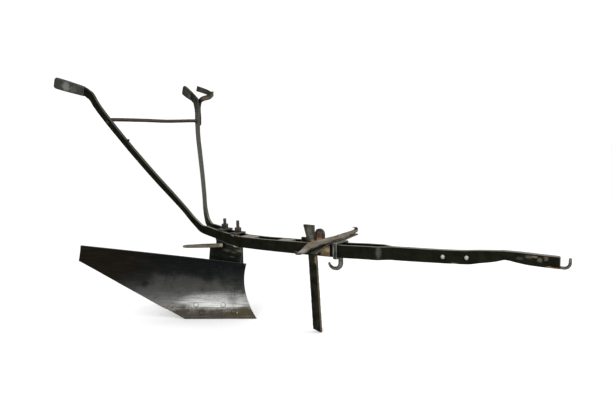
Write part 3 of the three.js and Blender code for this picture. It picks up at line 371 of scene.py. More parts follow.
# Columns: x, distance from the middle plane, z, height, how far the flat is turned, 0 to 1.
SIDE_BAR = (
    (1240, 6.15, 384, 37.9, 0), (1154, 6.15, 385.5, 37.4, 0), (1113.9, 6.15, 388, 34.1, 0),
    (1076.7, 6.15, 390, 29.3, 0), (1039.5, 6.15, 384, 36, 0), (982.1, 6.15, 375.5, 43.2, 0),
    (947.8, 6.15, 370, 46.1, 0), (861.8, 6.15, 364, 46.1, 0), (701.4, 6.15, 356, 48, 0),
    (667, 6.15, 354.5, 48, 0), (603, 29, 352, 49, 0), (547, 29, 349.5, 49, 0),
    (477, 29, 345.5, 49, 0), (345, 29, 341.5, 49, 0), (150, 29, 336, 48, 0), (20, 29, 333.5, 47, 0),
    (-62, 29, 333.5, 46.6, 0), (-110, 29, 340, 45.1, 0), (-160, 29, 347, 42.2, 0),
    (-210, 29, 355.5, 39.8, 0), (-262, 29, 365, 39.8, 0), (-300.1, 29.7, 371.8, 35.7, 0),
    (-326.4, 33.1, 390.8, 33.4, 0.2), (-351.8, 45, 420.6, 33.1, 0.6), (-371, 57.1, 449.8, 34.2, 0.9),
    (-402, 83, 499.9, 36.1, 1), (-468.4, 136.1, 600.3, 38, 1), (-533, 185, 699.9, 38, 0.9),
    (-594.7, 232.1, 800.3, 38, 0.7), (-631.6, 266, 870.1, 38, 0.4), (-665.4, 297, 939.9, 38, 0.2),
    (-683.9, 305.3, 973.8, 38, 0), (-700.5, 308.6, 985, 38, 0), (-717.2, 312.2, 995.7, 38, 0),
    (-746.6, 325.6, 1005.5, 38, 0),
)
SIDES = {"right": -1, "left": 1}
HANDLE_TWIST = {"right": -0.2, "left": 0.42}
BEAM_END = {"right": 1240, "left": 1235}
BAR_THICK = 12

# The first patch, a grey spot on the beam's knee, is a painted highlight.
BAR_PATCHES_AND_HIGHLIGHT = (
    ((624, -34, 357), (13, 16, 30), "#4f4f49", 0.5), ((905, -12, 342), (20, 8, 6), "#a48d72", 0.9),
    ((932, -12, 340), (20, 8, 5), "#8f7a63", 0.9), ((1148, -12, 394), (13, 8, 6), "#514a41", 0.6),
    ((1168, -12, 396), (12, 8, 5), "#6f6254", 0.7), ((1182, -12, 388), (9, 8, 9), "#5f5449", 0.6),
    ((1200, -12, 394), (9, 8, 9), "#5a5046", 0.6), ((1120, -12, 386), (16, 8, 6), "#33322b", 0.6),
    ((1212, -12, 368), (14, 8, 4), "#7b6653", 0.8), ((1230, -12, 366), (18, 8, 4), "#8f7056", 0.8),
    ((-104, -34, 361), (14, 6, 8), "#6c6c67", 0.7))
GREYED = (((-520, 195, 660), (340, 340, 460), "#43403b", 0.85),)
BAR_IRON = {side: iron(
    f"{side}_black_forged_iron", ("#11130d", "#1b1c15"), ("#6f6a62", "#8f8981"), "#3a2a1d", "#56534d",
    dust_and_light_amount=0.7, rusty=0.2, dust_and_light_below=400, patches=BAR_PATCHES_AND_HIGHLIGHT + extra)
    for side, extra in (("right", ()), ("left", GREYED))}


def side_bar(side):
    knots = []
    for x, out, z, tall, turn in SIDE_BAR:
        x = min(x, BEAM_END[side])
        knots.append((x, SIDES[side] * out, z, BAR_THICK, tall, HANDLE_TWIST[side] * turn, SIDES[side], 0))
    return forged_bar(f"{side}_side_bar", knots, BAR_IRON[side], groove=0.25, seed=SIDES[side] + 11)


def round_rod(name, start, direction, diameter, length):
    """A plain rod, for cutting holes."""
    start, direction = Vector(start), Vector(direction).normalized()
    side = direction.orthogonal()
    ends = [(*(start + direction * d), diameter, diameter, *side) for d in (0, length)]
    return forged_bar(name, ends, BAR_IRON["right"], corner=diameter / 2, steps=(1, 1), spacing=length,
                      end=0.01, lump=0, pit=0)


RIVET_AT = ((863.5, 364.1), (947.8, 370.0))  # x and z
HOOK_LINE = 368.9  # the height of the nose hook's shank
RIVET_HOLE, TENON_HOLE, HOOK_GROOVE, PIN_POCKET = 9.6, 10.6, 11.6, 11.4  # diameters
# The crossbar's tenons pass through each handle. Columns: inner face, way out.
TENON = {"right": ((-627.8, -256.5, 864.3), (0.103, -0.918, -0.383)),
         "left": ((-629.1, 256.6, 863.6), (0.325, 0.908, -0.263))}
PIN_ROOT, PIN_WAY = (-563.4, -217.1, 770.4), (0.878, -0.1325, 0.455)


def tenon_hole(side):
    """The cutter for one tenon's hole, which starts 6 mm inside the handle."""
    inner, way = TENON[side]
    return round_rod("tenon_hole", Vector(inner) - 6 * Vector(way), way, TENON_HOLE, 36)


for side in SIDES:
    bar = side_bar(side)
    tools = [round_rod("rivet_hole", (x, -24, z), (0, 1, 0), RIVET_HOLE, 48) for x, z in RIVET_AT]
    tools.append(round_rod("hook_groove", (1181.7, 0, HOOK_LINE), (1, 0, 0), HOOK_GROOVE, 110))
    tools.append(tenon_hole(side))
    if side == "right":
        tools.append(round_rod("pin_pocket", PIN_ROOT, PIN_WAY, PIN_POCKET, 22))
    fit(cut_away(bar, *tools), "black_iron", f"{side}_beam_bar", f"{side}_handle")


# ---- Nose rivets and hook ----
# Two rivets, peened over at both ends, clinch the bars together. A round forged hook for the chain
# has its shank held between the bars' ends.
def turned(name, profile, start, way, material, sides=36, uneven=0.0, seed=3):
    """Turns a profile of (radius, distance) points round a line."""
    way = Vector(way).normalized()
    side = way.orthogonal().normalized()
    other = way.cross(side)
    points, faces = [], []
    for radius, along in profile:
        for k in range(sides):
            turn = 2 * math.pi * k / sides
            arm = (side * math.cos(turn) + other * math.sin(turn)) * max(radius, 0.05)
            points.append(Vector(start) + way * along + arm)
    points = np.array(points)
    points += uneven * np.stack([lumps(points, 7, seed + k) for k in range(3)], axis=1)
    for ring in range(len(profile) - 1):
        for k in range(sides):
            a, b = ring * sides + k, ring * sides + (k + 1) % sides
            faces.append((a, b, b + sides, a + sides))
    faces += [tuple(range(sides)), tuple(range((len(profile) - 1) * sides, len(profile) * sides))]
    return mesh_piece(name, points, faces, material)


# Clean hammered iron: pale and shiny, with hardly any rust.
BRIGHT = iron("bright_rivet_iron", ("#8d8b86", "#b4b2ac"), ("#b5b2ab", "#cfccc5"), "#7c6a58", "#d5d3cd",
              rough=0.3, rusty=0.1, dust_and_light_amount=0.4)
RIVET_HEAD = ((7.65, 0.2), (7.6, 0.8), (7.0, 1.8), (5.9, 2.8), (4.4, 3.5), (2.6, 3.95), (0.9, 4.1), (0, 4.1))
FACE = 12.15  # the bars' outer faces, where they lie together
for place, (x, z) in zip(("rear", "front"), RIVET_AT):
    profile = [(r, -FACE - 0.3 - h) for r, h in reversed(RIVET_HEAD)]
    profile += [(4.5, -FACE - 0.2), (4.5, FACE + 0.2)]
    profile += [(r, FACE + 0.3 + h) for r, h in RIVET_HEAD]
    rivet = turned(f"{place}_nose_rivet_peened", profile, (x, 0, z), (0, 1, 0), BRIGHT, uneven=0.2, seed=7)
    fit(rivet, "bright_steel", f"{place}_nose_rivet")

# Forged iron with an olive-black skin, with little dust and little painted light on it.
HOOK_IRON = iron("olive_hook_iron", ("#191a14", "#2a2b23"), ("#36352f", "#504e46"), "#4f3d2c", "#8b8982",
                 rough=0.4, dust_and_light_amount=0.35)
BEND = {"x": 1249, "z": HOOK_LINE + 18, "radius": 18}
nose_hook = [(x, 0, HOOK_LINE, 11, 11, 0, 1, 0) for x in (1182, 1232)]
for degrees in (-90, -68, -45, -22, 0):
    turn = math.radians(degrees)
    nose_hook.append((BEND["x"] + BEND["radius"] * math.cos(turn), 0,
                      BEND["z"] + BEND["radius"] * math.sin(turn), 11, 11, 0, 1, 0))
nose_hook += [(1267, 0, 395, 10.4, 10.4, 0, 1, 0), (1266.6, 0, 401.3, 8, 8, 0, 1, 0)]
fit(forged_bar("nose_hook_forged", nose_hook, HOOK_IRON, corner=5.5, steps=(1, 1), spacing=1.6, end=2.5,
               lump=0.5, pit=0.15, seed=41), "worn_iron", "nose_hook")


# ---- Grips ----
# A flattened iron sleeve is driven over each handle's end and hammered shut. Its edges are
# round and its skin is lumpy from the hammer.
# Iron weathered grey: dull, blotched lighter and darker, with brown rust specks.
GRIP_IRON = iron(
    "weathered_grip_iron", ("#23231f", "#3d3d39"), ("#55544f", "#6b6a66"), "#3f3128", "#5c5b57",
    rough=0.5, dust_and_light_amount=0.35, rusty=0.35, patches=(
        ((-794, -360, 1022), (26, 24, 26), "#696867", 0.8),
        ((-764, -343, 1008), (22, 20, 22), "#4f4e4b", 0.6),
        ((-846, -378, 1038), (34, 28, 34), "#25251f", 0.7),
        ((-740, 318, 1000), (20, 20, 16), "#4a3529", 0.6)))
# Columns: x, distance from the middle plane, z, thickness, height.
GRIP = (
    (-718.9, 312.7, 996.1, 17.6, 45.4), (-759.1, 331.4, 1009.8, 19.3, 49.7),
    (-815.1, 357.5, 1028.8, 21, 54), (-843.1, 370.5, 1038.3, 20.8, 53.5),
    (-851.8, 374.6, 1041.2, 18.9, 48.6), (-856.6, 376.8, 1042.9, 14.3, 38),
)
for side, sign in SIDES.items():
    knots = [(x, sign * y, z, thick, tall, 0.382, sign * 0.915, -0.13) for x, y, z, thick, tall in GRIP]
    sleeve = forged_bar(f"{side}_grip_sleeve", knots, GRIP_IRON, corner=12, steps=(1, 8), spacing=3,
                        end=6, lump=1.0, pit=0.3, seed=sign + 31)
    socket = [(x, sign * y, z, 12.6, 38.6, 0.382, sign * 0.915, -0.13)
              for x, y, z in ((-711.9, 309.5, 993.8), (-746.9, 325.8, 1005.6))]
    pocket = forged_bar("pocket", socket, GRIP_IRON, steps=(1, 1), spacing=40, end=0.01, lump=0, pit=0)
    fit(cut_away(sleeve, pocket), "worn_iron", f"{side}_grip")


# ---- Crossbar and stub pin ----
# A round rod, drawn down at both ends and peened over outside the handles, sagging a little in the
# middle. A short pin for the line stands on the front edge of the right handle.
# Round iron gone brown: dark and dull, with a little rust in specks.
ROD_IRON = iron("browned_rod_iron", ("#1b1813", "#2a251e"), ("#3a352d", "#4c463c"), "#3f3022", "#4b463c",
                rough=0.5, dust_and_light_amount=0.55, rusty=0.3)
# Columns: x, y, z, diameter.
ROD = ((-626, -272.1, 857.8, 9), (-626.2, -270.7, 858.4, 15.4), (-626.5, -268.2, 859.4, 15.8),
       (-626.6, -267.5, 859.7, 10), (-627.7, -257.1, 864.1, 10), (-627.9, -256, 864.6, 16.6),
       (-629.3, -243.7, 869.6, 17), (-629.5, -227.7, 869.6, 17), (-630.8, -60, 867.5, 17),
       (-632.2, 70, 864.3, 17), (-633, 150, 865.5, 17), (-633.7, 227.9, 867.2, 17),
       (-633.7, 243.9, 867.2, 17), (-629.4, 256, 863.9, 16.6), (-628.9, 257.1, 863.4, 10),
       (-623.4, 272.3, 859, 10), (-623.3, 273, 858.9, 15.8), (-622.3, 275.5, 858.1, 15.4),
       (-621.8, 276.9, 857.7, 9))
crossbar = forged_bar("handle_crossbar_rod", [(*place, size, size, 0, 0, 1) for *place, size in ROD],
                      ROD_IRON, corner=9, steps=(1, 1), spacing=1.2, end=1, lump=0.4, seed=51)
fit(crossbar, "brown_iron", "handle_crossbar")
# Columns: radius, distance from the root.
PIN = ((5.0, 0.2), (5.3, 0.8), (5.4, 9), (5.2, 14), (4.9, 17), (4.2, 18.4), (2.6, 18.9), (0.9, 19), (0, 19))
fit(turned("handle_stub_pin_filed", PIN, PIN_ROOT, PIN_WAY, ROD_IRON,
           sides=20, uneven=0.2), "worn_iron", "handle_stub_pin")


# ---- Rein hook ----
# A strap of 28 by 5 mm up the outside of the left handle, bent forward and folded back on itself,
# which holds the plough line.
# Strap iron gone brown: a warm grey, lighter where dust lies and where light is painted on faces turned up
# and ahead.
STRAP_IRON = iron(
    "rein_strap_iron", ("#2b2824", "#433d37"), ("#4a453e", "#60594f"), "#4a3528", "#6a6056", dust_and_light_amount=0.6,
    rusty=0.25, patches=(((-615, 318, 982), (52, 12, 15), "#57493b", 0.9),
                         ((-570, 318, 992), (16, 12, 12), "#6a6058", 0.7)))
# Columns: x, y, z, thickness, width, way the flat faces.
REIN_STRAP = (
    (-605.6, 257.7, 841.7, 5, 28, 0.358, 0.901, -0.246), (-621.9, 272.9, 871.8, 5, 28, 0.309, 0.913, -0.266),
    (-655.6, 303.8, 939.6, 5, 28, 0.209, 0.949, -0.235), (-658.8, 310.3, 957, 5, 28, 0.1, 0.96, -0.2),
    (-661, 315.4, 970.5, 5, 29, 0, 0.98, -0.2), (-653, 316.4, 976.8, 5, 28, 0, 1, -0.1),
    (-636.6, 316.5, 981.9, 5, 26.6, 0, 1, 0), (-592.6, 316.5, 987.9, 5, 26.6, 0, 1, 0),
    (-564.6, 316.5, 1001.5, 5, 24, 0, 1, 0), (-560.2, 314.1, 1003, 5, 23.8, 1, 0, 0),
    (-563.5, 311.5, 1001.3, 5, 23.8, 0.166, -0.984, -0.059),
    (-604.6, 303.5, 1015.9, 5, 26.6, 0.184, -0.981, -0.065),
    (-656, 291.7, 1033.7, 5, 28, 0.201, -0.977, -0.07),
)
rein_strap = forged_bar("rein_hook_strap", REIN_STRAP, STRAP_IRON, corner=1.2, steps=(2, 6), spacing=2,
                        lump=0.25, seed=61)
fit(cut_away(rein_strap, tenon_hole("left")), "brown_iron", "rein_hook")


# ---- Frog, landside and their fixings ----
# The frog is one rough casting under the beam, with a ledge along its near side; the landside is a
# flat bar bolted to it, which slides along the furrow wall. A stay ties the landside to the board.
def worn_solid(node, material, slot, grain=1.5, lump=0.3, pit=0.15, soften=3, seed=1):
    """The solid of a node with its corners worn off and an uneven skin, in steps of `grain` mm."""
    piece = bpy.data.objects.new(f"{node}_worn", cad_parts[node].data.copy())
    bpy.context.scene.collection.objects.link(piece)
    remesh = piece.modifiers.new("remesh", "REMESH")
    remesh.mode, remesh.voxel_size = "VOXEL", grain / 1000
    smooth = piece.modifiers.new("smooth", "SMOOTH")
    smooth.factor, smooth.iterations = 0.5, soften
    graph = bpy.context.evaluated_depsgraph_get()
    mesh = bpy.data.meshes.new_from_object(piece.evaluated_get(graph))
    piece.modifiers.clear()
    piece.data = mesh
    places, ways = (np.zeros(3 * len(mesh.vertices), np.float32) for _ in range(2))
    mesh.vertices.foreach_get("co", places)
    mesh.vertex_normals.foreach_get("vector", ways)
    places, ways = places.reshape(-1, 3).astype(float), ways.reshape(-1, 3).astype(float)
    uneven = lump * (0.5 + 0.5 * lumps(places * 1000, 22, seed))
    uneven += pit * (0.5 + 0.5 * lumps(places * 1000, 4, seed + 1))
    places -= ways * uneven[:, None] / 1000
    mesh.vertices.foreach_set("co", places.astype(np.float32).ravel())
    mesh.update()
    mesh.shade_smooth()
    mesh.materials.clear()
    mesh.materials.append(material)
    return fit(piece, slot, node)


# A painted highlight: grey patches in a line along the frog's near ledge.
LEDGE_HIGHLIGHT = tuple(((-150 + 16 * k, -32, 317 - 1.6 * k), (12, 12, 3.5), "#4b4d44", 0.8) for k in range(5))
# Sand-cast iron: a coarse black skin, deeply grained, rubbed grey on its edges, with a painted highlight
# along the near ledge.
CAST = iron(
    "sand_cast_iron", ("#10130e", "#272924"), ("#3b3c34", "#504e45"), "#2f281c", "#66645b", rough=0.5,
    dust_and_light_amount=0.5, worn=1.0, pits=2.2, rusty=0.3, stretch=(0.45, 1, 1), patches=LEDGE_HIGHLIGHT + (
        ((-74, -28, 292), (22, 24, 8), "#5c5546", 0.7), ((-64, -28, 304), (14, 20, 6), "#4a4030", 0.7),
        # The two pale spots here, on the ledge, are painted glints.
        ((-98, -34, 311), (9, 10, 4.5), "#b0ab9e", 0.9), ((-84, -34, 309), (4, 8, 4), "#8d8a7e", 0.8),
        ((-150, -34, 288), (34, 20, 9), "#3a3a35", 0.6), ((-104, -34, 284), (22, 20, 5), "#42423d", 0.6),
        ((-120, -34, 262), (26, 20, 4), "#3c3f3a", 0.6)))
# Iron worn by the furrow: brown-grey with heavy rust.
LANDSIDE_IRON = iron("furrow_worn_iron", ("#2a2723", "#413b34"), ("#6a635a", "#857d72"), "#5a3f2c", "#7d776e",
                     rusty=0.7)
worn_solid("frog", CAST, "cast_iron", 2.2, lump=1.0, pit=0.3, seed=4)
worn_solid("landside", LANDSIDE_IRON, "worn_iron", 2.2, seed=8)
worn_solid("mouldboard_stay", LANDSIDE_IRON, "worn_iron", 1.8, seed=9)
worn_solid("joint_strap", LANDSIDE_IRON, "worn_iron", 1.6, seed=11)
for node in ("front_landside_bolt", "rear_landside_bolt"):
    worn_solid(node, LANDSIDE_IRON, "worn_iron", 0.9, soften=2, lump=0.1, seed=12)

# Forged iron under dust: a pale, matt brown-grey.
ARM_IRON = iron("dusty_arm_iron", ("#504b41", "#6f695c"), ("#504b41", "#6b6559"), "#4a3b2c", "#8f8a7d",
                rough=0.55, dust_and_light_amount=0.6, rusty=0.2, patches=(((-215, -78, 316), (60, 40, 6), "#3a352b", 0.7),
                                                           ((-172, -40, 311), (10, 12, 9), "#8f8b80", 0.8)))
# Columns: x, y, thickness, height.
ARM = ((-169, -33, 12, 20), (-175, -38.2, 12, 20), (-287.6, -137.3, 11, 15), (-297.1, -145.6, 9, 12),
       (-301.1, -149.2, 6, 6))
ARM_HEIGHT = 309.6
arm_line = [(x, y, ARM_HEIGHT, thick, tall, 0.661, -0.751, 0) for x, y, thick, tall in ARM]
side_arm = forged_bar("frog_side_arm_forged", arm_line, ARM_IRON, corner=3.5, steps=(3, 5), spacing=2.5,
                      end=2.5, lump=0.8, pit=0.3, groove=0.5, seed=71)
fit(side_arm, "weathered_iron", "frog_side_arm")


# ---- Frog studs, nuts and saddle plates ----
# Two threaded studs stand up from the frog through the slot; a saddle plate lies over both bars
# under each nut. The thread is drawn coarser than the real one.
# Blackened nuts: dark, with bright corners. The front one is browner.
DARK_NUT = iron("blackened_nut_iron", ("#1a1a16", "#33332d"), ("#4a4a43", "#6a6a61"), "#3a3024", "#8b8981",
                dust_and_light_amount=0.5, worn=1.0)
BROWN_NUT = iron("browned_nut_iron", ("#26211d", "#3d3631"), ("#554e48", "#6f6861"), "#4a382c", "#8f8982",
                 dust_and_light_amount=0.5, worn=1.0)
# Pitted plate iron: dark, with bright edges and deep pits.
SADDLE_IRON = iron("worn_saddle_iron", ("#1d1d18", "#37352e"), ("#403e37", "#6f6c63"), "#3f3426", "#a8a59c",
                   dust_and_light_amount=0.6, worn=1.0, pits=2.0, rusty=0.3)
THREADED, PITCH = 62, 3.0
for place, material, seed in (("rear", DARK_NUT, 21), ("front", BROWN_NUT, 24)):
    low, high = (1000 * (corner - SHARE_POINT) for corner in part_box(f"{place}_frog_stud"))
    radius, length = (high.x - low.x) / 2, high.z - low.z
    smooth_part = length - THREADED
    thread = [(radius - 0.5, 0.2), (radius - 0.1, 1)]
    thread += [(radius - 0.1, smooth_part * k / 6) for k in range(1, 7)]
    rise = smooth_part
    while rise < length - 3.4:
        thread += [(radius - 1.3, rise + 0.5), (radius - 0.1, rise + 1.4), (radius - 0.1, rise + 2.0)]
        rise += PITCH
    thread += [(radius - 1, length - 1.2), (radius - 2.2, length - 0.3)]
    thread += [(0.9, length - 0.2), (0, length - 0.2)]
    foot = ((low.x + high.x) / 2, (low.y + high.y) / 2, low.z)
    stud = turned(f"{place}_frog_stud_threaded", thread, foot, (0, 0, 1), material, uneven=0.15, seed=seed)
    fit(stud, "worn_iron", f"{place}_frog_stud")
    worn_solid(f"{place}_frog_nut", material, "worn_iron", 0.9, lump=0.5, soften=3, seed=seed)
    worn_solid(f"{place}_saddle_plate", SADDLE_IRON, "worn_iron", 1.0, lump=1.0, soften=5, seed=seed + 1)


# ---- Coulter and what holds it ----
# The coulter is a knife of flat iron whose head widens above the beam. It is wedged in the slot
# between rusty packers, ahead of a black wedge and behind a half-round clamp over a key.
# A black knife: its leading edge shows rusty brown, and its faces turned ahead are painted lighter brown as
# light; its head is greyer.
COULTER_IRON = iron(
    "coulter_knife_iron", ("#10110d", "#22231b"), ("#463e31", "#6b5f4d"), "#3d2d20", "#6a6255", dust_and_light_amount=0.8,
    rusty=0.4, dust_and_light_way=(0.93, -0.08, 0.3), patches=(
        ((324, -7, 293), (12, 12, 24), "#75614a", 0.85), ((300, -7, 398), (60, 14, 46), "#36362a", 0.8),
        ((292, -7, 404), (16, 12, 26), "#59564a", 0.6), ((330, -7, 425), (12, 12, 9), "#1c1d17", 0.8),
        ((268, -7, 425), (10, 12, 10), "#1c1d17", 0.8), ((303, -7, 383), (14, 12, 10), "#585c5a", 0.8),
        ((312, -7, 368), (20, 12, 9), "#96704f", 0.85)))
# Wedge and clamp are black iron, greyed on the corners; the clamp is more pitted.
WEDGE_IRON = iron("wedge_iron", ("#11120e", "#22231c"), ("#45443c", "#5c5a51"), "#3f2d20", "#6c6a61",
                  dust_and_light_amount=0.5)
CLAMP_IRON = iron("clamp_iron", ("#14150f", "#2c2d27"), ("#3f3f3a", "#6b6a64"), "#3f2f25", "#9a9890",
                  dust_and_light_amount=0.6, worn=1.0, pits=2.0)
# Key and packers are rusted all over: matt browns.
KEY_IRON = iron("key_iron", ("#3a3129", "#57483a"), ("#5a4c3e", "#75624f"), "#6e4e38", "#6b655c", rusty=0.4,
                patches=(((338, 0, 372), (30, 14, 14), "#8c6448", 0.85),
                         ((334, 0, 392), (10, 14, 10), "#27241f", 0.6)))
PACKER_RUST = iron("packer_rust", ("#4a3a2c", "#67503c"), ("#7c6048", "#96785a"), "#8a5833", "#8f7c6a",
                   rough=0.6, rusty=0.6)
# Distance pieces: brown iron whose tops are light with dust and painted light.
SPACER_IRON = iron("distance_piece_iron", ("#2e2a23", "#464036"), ("#6a645a", "#8d867b"), "#4a3829",
                   "#7d766b", rough=0.55, dust_and_light_amount=0.9, rusty=0.3)
for node, material, slot, grain in (
    ("coulter", COULTER_IRON, "worn_iron", 1.6), ("coulter_wedge", WEDGE_IRON, "black_iron", 1.2),
    ("coulter_clamp", CLAMP_IRON, "black_iron", 1.0), ("coulter_clamp_key", KEY_IRON, "rusty_iron", 0.9),
    ("right_slot_packer", PACKER_RUST, "rusty_iron", 1.4),
    ("left_slot_packer", PACKER_RUST, "rusty_iron", 1.4),
    ("rear_distance_piece", SPACER_IRON, "brown_iron", 1.6),
    ("middle_distance_piece", SPACER_IRON, "brown_iron", 1.6),
):
    worn_solid(node, material, slot, grain, lump=0.6, seed=len(node))


# ---- Cross bar ----
# A flattened bar laid across the beam ahead of the coulter, curled over at both ends, with a strap
# under it and a plate below it on the near side. It was drawn out by hand, so it is ridged.
# Drawn-out iron gone grey-brown: a skin in long ridges, deeply pitted.
CROSS_IRON = iron(
    "drawn_cross_bar_iron", ("#2c2721", "#463f36"), ("#474037", "#77705f"), "#352a20", "#8b867c", rough=0.55,
    dust_and_light_amount=0.85, worn=1.0, pits=3.0, rusty=0.3, stretch=(1, 0.22, 1), patches=(
        ((384, -40, 386), (14, 46, 10), "#87827a", 0.6), ((420, -20, 386), (10, 80, 10), "#2b261f", 0.6),
        # The dark spots at 388, 38 and 384, 98 are painted shade round the nail holes.
        ((366, 0, 386), (10, 60, 10), "#3b342b", 0.6), ((388, 38, 386), (9, 16, 8), "#23201b", 0.8),
        ((398, -190, 367), (20, 30, 12), "#8d8684", 0.6), ((384, 98, 390), (9, 14, 8), "#26221d", 0.8),
        ((402, 150, 398), (20, 24, 12), "#6c6359", 0.5), ((402, -212, 362), (20, 12, 12), "#2b2721", 0.6)))
# Columns: x, y, z, thickness, width, way the flat faces.
CROSS_BAR = (
    (400, -223.6, 371, 5, 12, 0, 1, 0.2), (400, -222, 364.2, 7, 15, 0, 0.85, 0.53),
    (400, -215, 359, 9, 18, 0, 0.3, 0.95), (399.5, -192, 361.8, 9.5, 27, 0, -0.1, 0.99),
    (398, -155, 370.2, 10, 37, 0, -0.16, 0.987), (394, -118, 375.6, 10, 52, 0, -0.1, 0.995),
    (392, -90, 378.2, 10, 61, 0, -0.083, 0.997), (395, -45, 380.2, 10, 60, 0, 0, 1),
    (395, 0, 380.4, 10, 60, 0, 0, 1), (395, 45, 380.4, 10, 58, 0, 0, 1),
    (397, 90, 385.2, 10, 44, 0, -0.108, 0.994), (399, 130, 389, 9.6, 33, 0, -0.15, 0.99),
    (400, 157, 392.4, 9, 26, 0, -0.37, 0.93), (400, 166, 399.4, 8, 20, 0, -1, 0),
    (400, 160, 406.4, 6, 17, 0, -0.5, -0.86), (400, 139.5, 409, 5, 10, 0, 0.08, -1),
)
cross_bar = forged_bar("cross_bar_drawn", CROSS_BAR, CROSS_IRON, corner=3, steps=(3, 14), spacing=2.2,
                       end=1.5, lump=1.2, pit=0.4, groove=1.6, seed=81)
NAIL_HOLES, NAIL_HOLE = ((388, 40), (384, 96)), 6  # x and y of each, and the diameter
punches = [round_rod("punch", (x, y, 360), (0, 0, 1), NAIL_HOLE, 50) for x, y in NAIL_HOLES]
fit(cut_away(cross_bar, *punches), "weathered_iron", "cross_bar")
# The strap is of the same iron, painted darker as the shade under the bar.
STRAP_IN_PAINTED_SHADE = iron("cross_strap_iron", ("#1e1c16", "#332e26"), ("#4f4a40", "#75705f"), "#4a3826", "#918d82",
                   dust_and_light_amount=0.6, pits=3.0, worn=1.0, stretch=(1, 0.3, 1))
worn_solid("cross_bar_strap", STRAP_IN_PAINTED_SHADE, "weathered_iron", 1.2, lump=1.0, seed=83)
# The side plate is rusted to a pale, matt tan.
PLATE_RUST = iron("side_plate_rust", ("#5a4c38", "#7f6e52"), ("#8c7a5c", "#a48d6d"), "#7a573a", "#a8957f",
                  rough=0.6, rusty=0.4, dust_and_light_amount=0.7, patches=(((404, -41, 346), (14, 8, 12), "#a48e70", 0.8),
                                                            ((380, -41, 326), (16, 8, 6), "#5a4230", 0.7)))
worn_solid("beam_side_plate", PLATE_RUST, "rusty_iron", 1.2, lump=0.8, seed=85)


# ---- Stirrup and draught hook ----
# A forged stirrup, closed round both bars of the beam, carries the draught hook: a round bar drawn
# to a taper and bent back, which the traces pull on.
# Black iron with bright corners, and one painted highlight strip on its near face.
STIRRUP_IRON = iron("stirrup_iron", ("#20221b", "#4c4d43"), ("#55554c", "#74736a"), "#4a3a2b", "#b5b4ac",
                    worn=1.0, dust_and_light_amount=0.5, rusty=0.3, pits=2.0,
                    patches=(((430, -42, 346), (4, 8, 30), "#9b9c98", 0.8),))
worn_solid("hook_stirrup", STIRRUP_IRON, "black_iron", 1.1, lump=0.6, seed=91)
# Columns: x, z, diameter.
DRAG_HOOK = (
    (437, 350, 20), (437, 315, 20), (437, 293.3, 20), (434.4, 282.7, 19.4), (427, 274.1, 18),
    (416.2, 269.1, 16.4), (404.1, 268.6, 14.8), (392.9, 272.8, 13.2), (384.8, 280.8, 11.2),
    (381.3, 289.4, 8.6),
)
drag_hook = forged_bar("drag_hook_forged", [(x, 0, z, size, size, 0, 1, 0) for x, z, size in DRAG_HOOK],
                       HOOK_IRON, corner=10, steps=(1, 1), spacing=1.6, end=2, lump=0.6, pit=0.2, seed=95)
fit(drag_hook, "black_iron", "drag_hook")


# ---- Mouldboard and share ----
# Two steel plates, 8 mm thick, bent to one hollow of 330 mm radius and ground flush at their seam.
# The soil keeps the lower part polished and streaked along the furrow, its brightness partly a painted
# highlight; the rest has gone black, darkened towards the top by a painted reflection of the dark ground.
SHARE_SLOPE = math.radians(34.7)
ALONG = np.array([-math.cos(SHARE_SLOPE), -math.sin(SHARE_SLOPE), 0])
BEHIND = np.array([-math.sin(SHARE_SLOPE), math.cos(SHARE_SLOPE), 0])
POINT_SIDE, HOLLOW, HOLLOW_HEIGHT, PLATE = -10, 330, 155, 8
SEAM = 40
WING, TAIL_LOW, TAIL_TOP, BROW = (315, 0), (781, 257), (753, 331), (45, 237)


def hollow(z, depth):
    """How far behind the share's line the plates are at a height, `depth` behind their face."""
    at_height = np.sqrt((HOLLOW + depth) ** 2 - (z - HOLLOW_HEIGHT) ** 2)
    return at_height - math.sqrt(HOLLOW ** 2 - HOLLOW_HEIGHT ** 2)


def plate_point(along, z, depth=0):
    return (np.array([0, POINT_SIDE, 0]) + np.multiply.outer(along, ALONG)
            + np.multiply.outer(hollow(z, depth), BEHIND) + np.multiply.outer(z, [0, 0, 1]))


def plate_way(z):
    """The way into the plates from their front face."""
    lean = math.asin((z - HOLLOW_HEIGHT) / HOLLOW)
    return BEHIND * math.cos(lean) + np.array([0, 0, math.sin(lean)])


def lower_edge(z):
    share = z / TAIL_LOW[1]
    return WING[0] + (TAIL_LOW[0] - WING[0]) * share + 24 * math.sin(math.pi * share)


